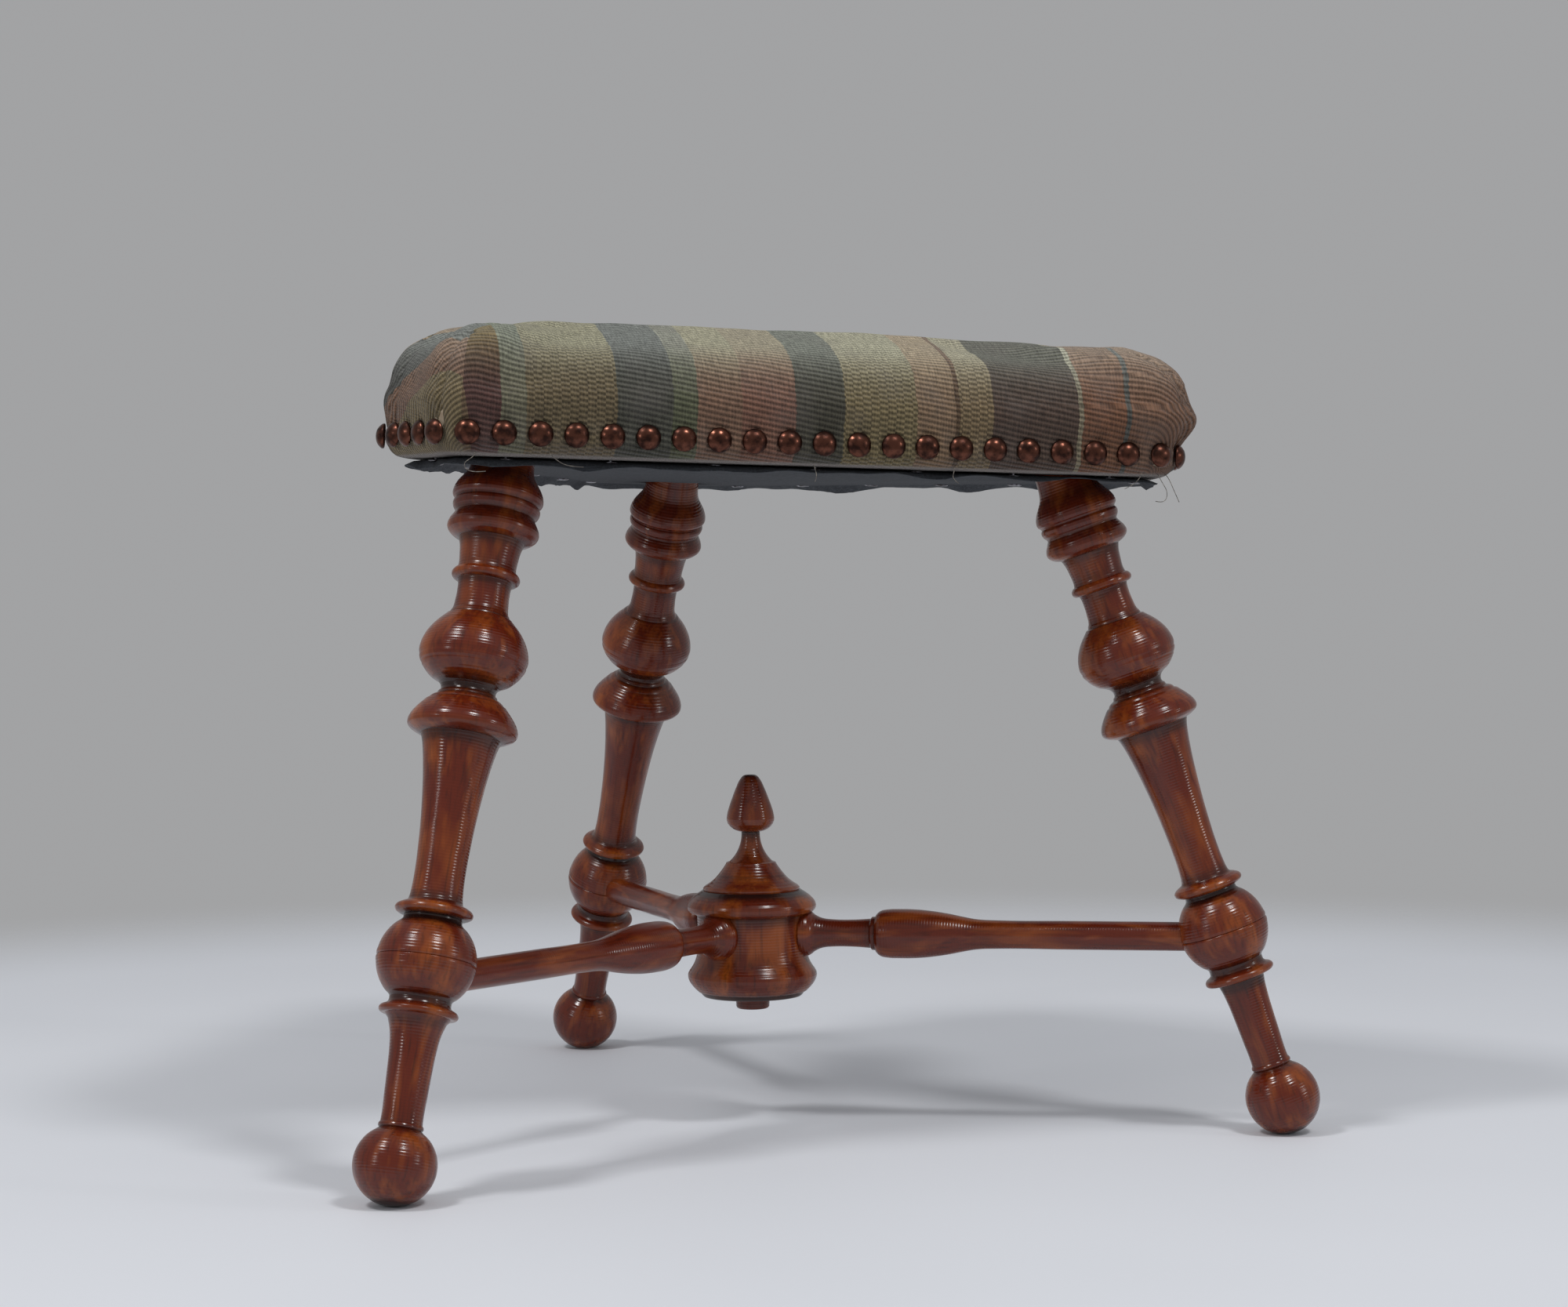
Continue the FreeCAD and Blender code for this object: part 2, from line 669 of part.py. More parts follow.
board_body = doc.addObject("PartDesign::Body", "sawn_board")
board_sketch = new_sketch(board_body, "board_outline", "XY_Plane")
for here, after in zip(board_points, board_points[1:] + board_points[:1]):
    board_sketch.addGeometry(Part.LineSegment(here, after), False)
for number in range(6):
    after = (number + 1) % 6
    board_sketch.addConstraint(Sketcher.Constraint("Coincident", number, 2, after, 1))
    left, across, ahead, deep = BOARD_CORNERS[number]
    for kind, sign, alias in (("DistanceX", left, across), ("DistanceY", ahead, deep)):
        value = size(alias) * (-1 if sign else 1)
        index = board_sketch.addConstraint(
            Sketcher.Constraint(kind, -1, 1, number, 1, value)
        )
        board_sketch.setExpression("Constraints[%d]" % index, sign + "Sizes." + alias)
board_pad = board_body.newObject("PartDesign::Pad", "board_pad")
board_pad.Profile = board_sketch
board_pad.setExpression("Length", "Sizes.board_thickness")
doc.recompute()
upright_edges = []
for number, edge in enumerate(board_pad.Shape.Edges, 1):
    if abs(edge.tangentAt(edge.FirstParameter).z) > 0.5:
        upright_edges.append("Edge%d" % number)
board_corners = board_body.newObject("PartDesign::Fillet", "board_corners")
board_corners.Base = (board_pad, upright_edges)
board_corners.setExpression("Radius", "Sizes.board_corner_radius")
doc.recompute()
lower_edges = []
for number, edge in enumerate(board_corners.Shape.Edges, 1):
    if edge.BoundBox.ZMax < size("board_thickness") / 2:
        lower_edges.append("Edge%d" % number)
board_lower_bevel = board_body.newObject("PartDesign::Chamfer", "board_lower_bevel")
board_lower_bevel.Base = (board_corners, lower_edges)
board_lower_bevel.setExpression("Size", "Sizes.board_bevel")
board_sketch.Visibility = False
board_body.Placement = seat_place
nodes.append(cut("seat_board", board_body, tenon_drills))


# Solids with flat faces
def flat_face(corners):
    return Part.Face(Part.makePolygon(corners + corners[:1]))


def closed_solid(faces):
    shell = Part.makeShell(faces)
    shell.sewShape()
    solid = Part.Solid(Part.Shell(shell.Faces))
    solid.fix(1e-6, 1e-6, 1e-6)
    if solid.Volume < 0:
        solid.reverse()
    return solid


def frustums(rings):
    """A closed solid over level polygons that all have as many corners."""
    faces = [flat_face(rings[0]), flat_face(rings[-1])]
    for lower, upper in zip(rings, rings[1:]):
        for number in range(len(lower)):
            before = number - 1
            faces.append(flat_face([lower[before], lower[number], upper[number], upper[before]]))
    return closed_solid(faces)


# Outlines round the seat
def shifted_corners(inset):
    """The corners of the board's outline after every side is moved inwards by inset."""
    lines = []
    for here, after in zip(board_points, board_points[1:] + board_points[:1]):
        along = (after - here).normalize()
        inward = FreeCAD.Vector(-along.y, along.x, 0)
        lines.append((here + inward * inset, along))
    corners = []
    for (point, along), (next_point, next_along) in zip(lines[-1:] + lines[:-1], lines):
        gap = next_point - point
        crossing = along.x * next_along.y - along.y * next_along.x
        corners.append(point + along * ((gap.x * next_along.y - gap.y * next_along.x) / crossing))
    return corners


def rounded_sides(inset, share=1.0):
    """(side's start, side's end, next corner's arc centre, radius) for each of the six sides."""
    softening = size("corner_softening") if inset > 0 else 1.0
    radius = (size("board_corner_radius") - inset * softening) * share
    centre = FreeCAD.Vector(0, 0, 0)
    for corner in board_points:
        centre += corner * (1 / 6)
    corners = [centre + (corner - centre) * share for corner in shifted_corners(inset)]
    cuts = []
    for before, corner, after in zip(corners[-1:] + corners[:-1], corners, corners[1:] + corners[:1]):
        back = (before - corner).normalize()
        ahead = (after - corner).normalize()
        half = back.getAngle(ahead) / 2
        reach = radius / math.tan(half)
        middle = corner + (back + ahead).normalize() * (radius / math.sin(half))
        cuts.append((corner + back * reach, corner + ahead * reach, middle))
    sides = []
    for here, after in zip(cuts, cuts[1:] + cuts[:1]):
        sides.append((here[1], after[0], after[2], radius))
    return sides


def outline(inset, height, share=1.0):
    """The edges of a level section: six pairs of a straight side and the arc that follows it."""
    lift = FreeCAD.Vector(0, 0, height)
    sides = rounded_sides(inset, share)
    edges = []
    for side, after in zip(sides, sides[1:] + sides[:1]):
        start, end, middle, radius = side
        edges.append(Part.LineSegment(start + lift, end + lift).toShape())
        halfway = ((end - middle) + (after[0] - middle)).normalize() * radius + middle
        edges.append(Part.Arc(end + lift, halfway + lift, after[0] + lift).toShape())
    return edges


def slab(inset, low, high):
    face = Part.Face(Part.Wire(outline(inset, low)))
    return face.extrude(FreeCAD.Vector(0, 0, high - low))


def stacked(sections):
    """A closed solid over level sections. Its sides are flat, because each section's straight
    sides are parallel to those below, and only the strips at the corners are curved."""
    faces = [Part.Face(Part.Wire(sections[0])), Part.Face(Part.Wire(sections[-1]))]
    for lower, upper in zip(sections, sections[1:]):
        for low, high in zip(lower, upper):
            if isinstance(low.Curve, Part.Line):
                faces.append(flat_face([end.Point for end in low.Vertexes + high.Vertexes[::-1]]))
            else:
                faces.append(Part.makeRuledSurface(low, high))
    return closed_solid(faces)


# Stuffing, lining and cover
# A curled-hair pad with a crown lies on the board, drawn in over rounded edges. A calico lining is
# pulled over it and down the edge of the board, and the woven cover goes over both, is nailed along
# the edge of the board and turned under as a hem.
FABRICS = "lining_thickness + cover_thickness"
PAD_SECTIONS = [
    ("pad_roll_inset", "pad_roll_height"),
    ("pad_shoulder_inset", "pad_shoulder_height"),
    ("pad_slope_inset", "pad_slope_height"),
    ("pad_top_inset", "pad_top_height"),
]


def padded(layers, foot):
    """The pad grown outwards by layers of cloth, from its foot sections over its crown."""
    sink = size(FABRICS) - layers
    sections = foot + [outline(-layers, size("pad_edge_height") - sink)]
    for inset, height in PAD_SECTIONS:
        sections.append(outline(size(inset) - layers, size(height) - sink))
    top_inset = size("pad_top_inset") - layers
    sections.append(outline(top_inset, size("crown_height") - sink, size("crown_share")))
    return stacked(sections)


def feature(name, shape, place):
    piece = doc.addObject("Part::Feature", name)
    piece.Shape = shape
    piece.Placement = place
    nodes.append(piece)


lining = size("lining_thickness")
fabrics = size(FABRICS)
thickness = size("board_thickness")
bevel = size("board_bevel")
hem = size("cover_thickness")

stuffing = padded(0.0, [outline(0.0, thickness)])
lining_outside = padded(lining, [outline(-lining, bevel)])
lining_inside = padded(0.0, [outline(0.0, bevel)])
cover_outside = padded(fabrics, [outline(bevel, -hem), outline(-fabrics, bevel)])
cover_inside = padded(lining, [outline(bevel, 0.0), outline(-lining, bevel)])
hem_opening = slab(size("hem_width"), -hem * 2, thickness)

feature("stuffing", stuffing, seat_place)
feature("calico_lining", lining_outside.cut(lining_inside), seat_place)
feature("seat_cover", cover_outside.cut(cover_inside).cut(hem_opening), seat_place)

# Dust cover
# A thin sheet under the board, tacked over the hem, with a hole round each leg.
sheet_top = -hem
sheet_bottom = -hem - size("dust_cover_thickness")
dust_cover = slab(size("dust_cover_inset"), sheet_bottom, sheet_top)
for leg in LEG_AZIMUTHS:
    along = leg_places[leg].Rotation.multVec(UP)
    hole = Part.makeCylinder(
        size("tenon_dia") / 2 + size("dust_cover_leg_gap"),
        thickness * 2,
        shoulders[leg] - along * thickness,
        along,
    )
    dust_cover = dust_cover.cut(hole.transformed(seat_place.inverse().toMatrix()))
feature("dust_cover", dust_cover, seat_place)


# Nails and tacks
# A domed nail and a flat tack, each with a tapered square shank, placed by their pitch along an
# outline of the seat. The nails are grouped by the side that they are driven into.
def polygon(sides, across, height):
    """The corners of a level regular polygon, across its corners."""
    return [polar(across / 2, 360 / sides * turn, height) for turn in range(sides)]


def fastener(head_rings, shank_length):
    """An eight-sided head on its seat at height 0 with a tapered square shank below it."""
    head = frustums([polygon(8, size(across), height) for across, height in head_rings])
    tip = polygon(4, size("shank_tip_width"), -shank_length)
    shank = frustums([tip, polygon(4, size("nail_shank_width"), 0.0)])
    return head.fuse(shank)


def along_outline(inset, pitch):
    """(point, outward direction, side number) at even steps, with one in the middle of the front."""
    sides = rounded_sides(inset)
    stretches = []
    for number, side in enumerate(sides):
        start, end, middle, radius = side
        after = sides[(number + 1) % 6][0]
        turn = (end - middle).getAngle(after - middle)
        stretches.append((number, start, end, (end - start).Length, None, 0.0))
        stretches.append((number, end, middle, radius * turn, radius, turn))
    perimeter = sum(stretch[3] for stretch in stretches)
    count = max(int(round(perimeter / pitch)), 6)
    spots = []
    for step in range(count):
        distance = (stretches[0][3] / 2 + step * perimeter / count) % perimeter
        for number, start, end, length, radius, turn in stretches:
            if distance <= length:
                break
            distance -= length
        if radius is None:
            along = (end - start).normalize()
            outward = FreeCAD.Vector(along.y, -along.x, 0)
            spots.append((start + along * distance, outward, number))
        else:
            swing = FreeCAD.Rotation(UP, math.degrees(turn * distance / length))
            outward = swing.multVec((start - end).normalize())
            nearer = number if distance < length / 2 else (number + 1) % 6
            spots.append((end + outward * radius, outward, nearer))
    return spots


nail = fastener(
    [
        ("nail_head_dia", 0.0),
        ("nail_shoulder_dia", size("nail_shoulder_height")),
        ("nail_crown_dia", size("nail_crown_height")),
    ],
    size("nail_shank_length"),
)
nails = {name: [] for name in SIDE_NAMES}
for point, outward, number in along_outline(-fabrics, size("nail_pitch")):
    lift = FreeCAD.Vector(0, 0, size("nail_line_height"))
    place = FreeCAD.Placement(point + lift, FreeCAD.Rotation(UP, outward))
    nails[SIDE_NAMES[number]].append(nail.transformed(place.toMatrix()))
for name, copies in nails.items():
    feature("nails_" + name, Part.makeCompound(copies), seat_place)

tack = fastener(
    [("tack_head_dia", 0.0), ("tack_top_dia", size("tack_head_height"))],
    size("tack_shank_length"),
)
tacks = []
tack_inset = size("dust_cover_inset + tack_edge_distance")
for point, outward, number in along_outline(tack_inset, size("tack_pitch")):
    lift = FreeCAD.Vector(0, 0, sheet_bottom)
    place = FreeCAD.Placement(point + lift, FreeCAD.Rotation(FreeCAD.Vector(1, 0, 0), 180))
    tacks.append(tack.transformed(place.toMatrix()))
feature("dust_cover_tacks", Part.makeCompound(tacks), seat_place)

doc.recompute()

# Checks and files
for item in doc.Objects:
    if "Invalid" in item.State or "Error" in item.State:
        raise RuntimeError(item.Name + " failed: " + str(item.State))
os.makedirs("parts", exist_ok=True)
for node in nodes:
    if node.Shape.isNull() or not node.Shape.isValid() or not node.Shape.Solids:
        raise RuntimeError(node.Name + " has no valid shape")
    node.Label = node.Name
    node.Shape.exportStep("parts/" + node.Label + ".step")
    print(node.Label, len(node.Shape.Solids), round(node.Shape.Volume), node.Shape.BoundBox)
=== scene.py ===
"""Upholstered footstool on three turned legs, dressed over its measured frame, in metres."""
import math
import random

import bmesh
import bpy
from mathutils import Matrix, Vector, noise
from mathutils.kdtree import KDTree


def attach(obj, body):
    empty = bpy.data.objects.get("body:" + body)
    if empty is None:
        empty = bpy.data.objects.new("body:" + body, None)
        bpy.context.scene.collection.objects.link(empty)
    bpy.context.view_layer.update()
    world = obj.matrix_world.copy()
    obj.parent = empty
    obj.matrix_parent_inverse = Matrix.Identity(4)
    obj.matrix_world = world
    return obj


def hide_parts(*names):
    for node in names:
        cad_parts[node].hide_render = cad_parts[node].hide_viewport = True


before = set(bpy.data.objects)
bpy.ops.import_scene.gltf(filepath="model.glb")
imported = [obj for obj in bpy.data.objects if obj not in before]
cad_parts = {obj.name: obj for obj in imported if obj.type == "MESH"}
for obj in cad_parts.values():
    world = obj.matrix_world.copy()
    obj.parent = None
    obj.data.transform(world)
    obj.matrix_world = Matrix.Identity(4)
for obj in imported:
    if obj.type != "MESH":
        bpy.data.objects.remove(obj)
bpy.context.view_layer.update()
scene = bpy.context.scene

# Camera
# It stands to the left of the front, a little lower than the seat, so that the underside of the
# seat is seen edge on and all three legs show.
camera = bpy.data.objects.new("camera", bpy.data.cameras.new("camera"))
scene.collection.objects.link(camera)
CAMERA_PLACE = Vector((-0.42448, -1.56621, 0.267))
TO_THE_RIGHT = Vector((0.96166, -0.27397, -0.01259))
UPWARDS = Vector((0.02043, 0.02576, 0.99946))
TOWARDS_STOOL = Vector((0.27350, 0.96139, -0.03036))
turned_to = Matrix((TO_THE_RIGHT, UPWARDS, -TOWARDS_STOOL)).transposed().to_4x4()
camera.matrix_world = Matrix.Translation(CAMERA_PLACE) @ turned_to
camera.data.sensor_width = 36
camera.data.lens = 76.87
scene.camera = camera
scene.view_settings.view_transform = "Standard"

# Light
# Two soft lamps overhead and two lower ones at the sides stand round the stool, as the pairs of
# small highlights on the turnings show, with a plain pale room around them.
LIT_POINT = Vector((0, 0, 0.2))
LAMP_DISTANCE = 2.2
LAMPS = {
    "overhead_left": (-0.45, 0.80, 0.39, 0.34, 13),
    "overhead_right": (0.35, 0.78, 0.51, 0.34, 13),
    "side_left": (-0.75, 0.25, 0.61, 0.26, 3),
    "side_right": (0.90, 0.23, 0.38, 0.26, 3),
}
for name, (across, above, nearer, width, watts) in LAMPS.items():
    aim = (TO_THE_RIGHT * across + UPWARDS * above - TOWARDS_STOOL * nearer).normalized()
    lamp = bpy.data.objects.new(name, bpy.data.lights.new(name, "AREA"))
    scene.collection.objects.link(lamp)
    lamp.data.size = width
    lamp.data.energy = watts
    lamp.location = LIT_POINT + aim * LAMP_DISTANCE
    lamp.rotation_euler = aim.to_track_quat("Z", "Y").to_euler()


def add_node(tree, kind, sockets=None, **settings):
    """A shader node with its settings made and its sockets set or linked."""
    new = tree.nodes.new(kind if kind.startswith("Node") else "ShaderNode" + kind)
    for setting, value in settings.items():
        setattr(new, setting, value)
    for socket, value in (sockets or {}).items():
        if isinstance(value, bpy.types.NodeSocket):
            tree.links.new(value, new.inputs[socket])
        else:
            new.inputs[socket].default_value = value
    return new


world = bpy.data.worlds.new("pale_room")
world.use_nodes = True
scene.world = world
room = world.node_tree
room.nodes.clear()
seen = add_node(room, "LightPath").outputs
backdrop = add_node(room, "Background", {"Color": (0.362, 0.364, 0.370, 1), "Strength": 1.0})
glow = add_node(room, "Background", {"Color": (0.95, 0.97, 1.0, 1), "Strength": 0.34})
mirrored = add_node(
    room, "Math", {0: seen["Is Camera Ray"], 1: seen["Is Glossy Ray"]}, operation="MAXIMUM"
)
mixed = add_node(
    room, "MixShader", {0: mirrored.outputs[0], 1: glow.outputs[0], 2: backdrop.outputs[0]}
)
add_node(room, "OutputWorld", {"Surface": mixed.outputs[0]})

# Floor
# A round pale table top under the stool, whose far edge fades into the grey of the room.
bpy.ops.object.select_all(action="DESELECT")
bpy.ops.mesh.primitive_circle_add(vertices=96, radius=1.1, fill_type="TRIFAN")
floor = bpy.context.object
floor.name = "table_top"


def noisy(tree, vector, scale, detail, **more):
    """A noise over the surface, with its other sockets by name."""
    sockets = {"Vector": vector, "Scale": scale, "Detail": detail, **more}
    return add_node(tree, "TexNoise", sockets).outputs[0]


def blended(tree, share, first, second):
    return add_node(
        tree, "Mix", {0: share, 6: first, 7: second}, data_type="RGBA"
    ).outputs[2]


table_white = bpy.data.materials.new("table_white")
table_white.use_nodes = True
tree = table_white.node_tree
tree.nodes.clear()
position = add_node(tree, "TexCoord").outputs["Object"]
from_middle = add_node(tree, "VectorMath", {0: position}, operation="LENGTH")
edge_fade = add_node(
    tree, "MapRange", {0: from_middle.outputs["Value"], 1: 0.66, 2: 1.07},
    interpolation_type="SMOOTHSTEP",
)
clouding = noisy(tree, position, 3.0, 2.0)
table_tone = blended(tree, clouding, (0.80, 0.82, 0.87, 1), (0.87, 0.89, 0.94, 1))
table_top = add_node(tree, "BsdfPrincipled", {"Base Color": table_tone, "Roughness": 0.65})
clear = add_node(tree, "BsdfTransparent")
faded = add_node(
    tree, "MixShader", {0: edge_fade.outputs[0], 1: table_top.outputs[0], 2: clear.outputs[0]}
)
add_node(tree, "OutputMaterial", {"Surface": faded.outputs[0]})
floor.data.materials.append(table_white)

# Legs
# Each leg is turned from one length of beech: a ball foot, a slim stem, a ball that takes the
# stretcher, a tapered column under a disc, a large ball, a ringed neck and a bulb. The wood is
# stained red-brown and varnished.
MM = 0.001
FEET = {"front_left": (0.239, 216.4), "front_right": (0.245, -26.5), "back": (0.264, 94.9)}
FOOT_HEIGHT = 0.01655
BULBS = {"front_left": 210.0, "front_right": -30.0, "back": 90.0}
BULB_CIRCLE = 0.1542
BULB_HEIGHT = 0.285
HUB_AXIS = Vector((-0.013444, -0.060605, 0))
BALL_STATIONS = {"front_left": 85.5, "front_right": 81.0, "back": 83.8}
DISC_STATIONS = {"front_left": 184.8, "front_right": 180.8, "back": 186.6}
SHOULDER_STATIONS = {"front_left": 308.2, "front_right": 299.8, "back": 311.8}
GIRTHS = {"front_left": 1.03, "front_right": 0.985, "back": 1.01}


def polar(radius, degrees, height):
    angle = math.radians(degrees)
    return Vector((radius * math.cos(angle), radius * math.sin(angle), height))


def ball(centre, radius, low, high, steps):
    """Round points of a half profile that follow a ball from one height to another."""
    first = math.asin(max(-1.0, (low - centre) / radius))
    last = math.asin(min(1.0, (high - centre) / radius))
    points = []
    for step in range(steps + 1):
        angle = first + (last - first) * step / steps
        points.append((radius * math.cos(angle), centre + radius * math.sin(angle)))
    return points


def turned(name, profile, sides=64):
    """A piece turned about Z from its half profile's (radius, station) points in mm, of which
    those marked corner are sharp and the others round."""
    bpy.ops.object.select_all(action="DESELECT")
    bpy.ops.curve.primitive_bezier_curve_add()
    piece = bpy.context.object
    piece.name = name
    piece.data.resolution_u = 5
    spline = piece.data.splines[0]
    spline.bezier_points.add(len(profile) - 2)
    for point, (radius, station, *corner) in zip(spline.bezier_points, profile):
        point.co = (radius * MM, 0, station * MM)
        point.handle_left_type = point.handle_right_type = "VECTOR" if corner else "AUTO"
    bpy.ops.object.convert(target="MESH")
    bpy.ops.object.mode_set(mode="EDIT")
    bpy.ops.mesh.select_all(action="SELECT")
    bpy.ops.mesh.spin(steps=sides, angle=2 * math.pi, center=(0, 0, 0), axis=(0, 0, 1))
    bpy.ops.mesh.select_all(action="SELECT")
    bpy.ops.mesh.remove_doubles(threshold=0.00001)
    bpy.ops.mesh.normals_make_consistent(inside=False)
    bpy.ops.object.mode_set(mode="OBJECT")
    bpy.ops.object.shade_smooth_by_angle(angle=math.radians(40))
    return piece


def mark_hollows(piece, reach=5):
    """Stores how far each point lies in a hollow, 0, or on a crest, 1, of the turned profile; the
    wood's colour uses it for painted shade in the hollows.
    """
    widest = {}
    for vertex in piece.data.vertices:
        station = round(vertex.co.z / MM)
        radius = math.hypot(vertex.co.x, vertex.co.y) / MM
        widest[station] = max(widest.get(station, 0.0), radius)
    marks = piece.data.attributes.new("crest", "FLOAT", "POINT")
    for vertex in piece.data.vertices:
        station = round(vertex.co.z / MM)
        near = [widest[s] for s in range(station - reach, station + reach + 1) if s in widest]
        radius = math.hypot(vertex.co.x, vertex.co.y) / MM
        level = 0.5 + (radius - sum(near) / len(near)) / 7.0
        marks.data[vertex.index].value = min(1.0, max(0.0, level))


def pick(pieces):
    """Selects these pieces alone, with the first of them active."""
    bpy.ops.object.select_all(action="DESELECT")
    for piece in pieces:
        piece.select_set(True)
    bpy.context.view_layer.objects.active = pieces[0]


def put(piece, place):
    """Applies the piece's place to its mesh, so that its object stays at the origin."""
    piece.matrix_world = place
    pick([piece])
    bpy.ops.object.transform_apply(location=True, rotation=True, scale=True)


def new_group(name, inputs, outputs):
    """A shader node group with its sockets, and its input and output nodes."""
    group = bpy.data.node_groups.new(name, "ShaderNodeTree")
    for direction, sockets in (("INPUT", inputs), ("OUTPUT", outputs)):
        for socket, kind in sockets.items():
            group.interface.new_socket(
                name=socket, in_out=direction, socket_type="NodeSocket" + kind
            )
    return group, group.nodes.new("NodeGroupInput").outputs, group.nodes.new("NodeGroupOutput")


def ranged(tree, value, low, high, start=0.0, end=1.0):
    return add_node(tree, "MapRange", {0: value, 1: low, 2: high, 3: start, 4: end}).outputs[0]


def maths(tree, operation, *values):
    return add_node(tree, "Math", dict(enumerate(values)), operation=operation).outputs[0]


def stretched(tree, vector, scale):
    return add_node(tree, "Mapping", {"Vector": vector, "Scale": scale}).outputs[0]


def bumped(tree, height, strength, distance):
    sockets = {"Height": height, "Strength": strength, "Distance": distance}
    return add_node(tree, "Bump", sockets).outputs[0]


def give(tree, target, **values):
    """Links values to a shader's or group output's sockets, named without their spaces."""
    for socket in target.inputs:
        if socket.name.replace(" ", "") in values:
            tree.links.new(values[socket.name.replace(" ", "")], socket)


wood_figure_and_shade, given, result = new_group(
    "varnished_wood_figure_and_hollow_shade",
    {"Vector": "Vector", "Crest": "Float", "Shadow": "Color", "Body": "Color", "Flame": "Color"},
    {"Color": "Color", "Roughness": "Float", "Normal": "Vector"},
)
along_grain = stretched(wood_figure_and_shade, given["Vector"], (1, 1, 0.22))
clouds = noisy(wood_figure_and_shade, along_grain, 75.0, 3.0, Distortion=0.8)
flecks = noisy(wood_figure_and_shade, along_grain, 190.0, 2.0)
streaks = noisy(wood_figure_and_shade, stretched(wood_figure_and_shade, given["Vector"], (1, 1, 0.05)), 700.0, 4.0)
flame_share = ranged(wood_figure_and_shade, clouds, 0.48, 0.72)
flamed = blended(wood_figure_and_shade, flame_share, given["Body"], given["Flame"])
fleck_share = ranged(wood_figure_and_shade, flecks, 0.56, 0.74, 0.0, 0.6)
flecked = blended(wood_figure_and_shade, fleck_share, flamed, given["Flame"])
streak_share = ranged(wood_figure_and_shade, streaks, 0.5, 0.75, 0.0, 0.5)
grained = blended(wood_figure_and_shade, streak_share, flecked, given["Shadow"])
# Painted shade: the hollows of the turning are darkened towards the dark colour.
painted_hollow_shade = ranged(wood_figure_and_shade, given["Crest"], 0.5, 0.12, 0.0, 0.92)
shaded = blended(wood_figure_and_shade, painted_hollow_shade, grained, given["Shadow"])
worn_share = ranged(wood_figure_and_shade, given["Crest"], 0.62, 0.95, 0.0, 0.35)
worn = blended(wood_figure_and_shade, worn_share, shaded, given["Flame"])
smears = noisy(wood_figure_and_shade, given["Vector"], 60.0, 3.0)
gloss = ranged(wood_figure_and_shade, smears, 0.3, 0.8, 0.13, 0.32)
TOOL_MARKS = 4800.0
along_axis = add_node(wood_figure_and_shade, "SeparateXYZ", {0: given["Vector"]}).outputs[2]
unevenness = noisy(wood_figure_and_shade, given["Vector"], 120.0, 2.0)
tool_phase = maths(wood_figure_and_shade, "MULTIPLY_ADD", along_axis, TOOL_MARKS, unevenness)
tool_rings = maths(wood_figure_and_shade, "SINE", tool_phase)
ring_height = maths(wood_figure_and_shade, "MULTIPLY_ADD", tool_rings, 0.12, unevenness)
tooled = bumped(wood_figure_and_shade, ring_height, 0.5, 0.0004)
give(wood_figure_and_shade, result, Color=worn, Roughness=gloss, Normal=tooled)

# The dark colour gives both the dark grain streaks and the painted shade in the hollows.
MAHOGANY_DARK_GRAIN_AND_SHADE = (0.0120, 0.0035, 0.0022, 1)
MAHOGANY_BODY = (0.1200, 0.0140, 0.0030, 1)
MAHOGANY_FLAME = (0.2900, 0.0660, 0.0090, 1)


def new_material(name):
    """A new material, with its node tree and its shader."""
    material = bpy.data.materials.new(name)
    material.use_nodes = True
    return material, material.node_tree, material.node_tree.nodes["Principled BSDF"]


def varnished_wood(name, place):
    """Stained and varnished wood whose grain runs along the piece's own axis."""
    material, tree, shader = new_material(name)
    position = add_node(tree, "TexCoord").outputs["Object"]
    own_axis = add_node(
        tree, "Mapping",
        {"Vector": position, "Location": place.to_translation(), "Rotation": place.to_euler()},
        vector_type="TEXTURE",
    )
    crest = add_node(tree, "Attribute", attribute_name="crest")
    figure = add_node(tree, "Group", node_tree=wood_figure_and_shade)
    for socket, value in (("Shadow", MAHOGANY_DARK_GRAIN_AND_SHADE), ("Body", MAHOGANY_BODY),
                          ("Flame", MAHOGANY_FLAME)):
        figure.inputs[socket].default_value = value
    give(tree, figure, Vector=own_axis.outputs[0], Crest=crest.outputs["Fac"])
    colour, roughness, normal = figure.outputs
    give(tree, shader, BaseColor=colour, Roughness=roughness, Normal=normal)
    shader.inputs["IOR"].default_value = 1.48
    return material


def fit_turning(piece, material_name, place, node):
    """Puts a turned piece in its place, varnishes it and lets it stand for its node."""
    mark_hollows(piece)
    put(piece, place)
    piece.data.materials.append(varnished_wood(material_name, place))
    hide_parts(node)
    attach(piece, "root")


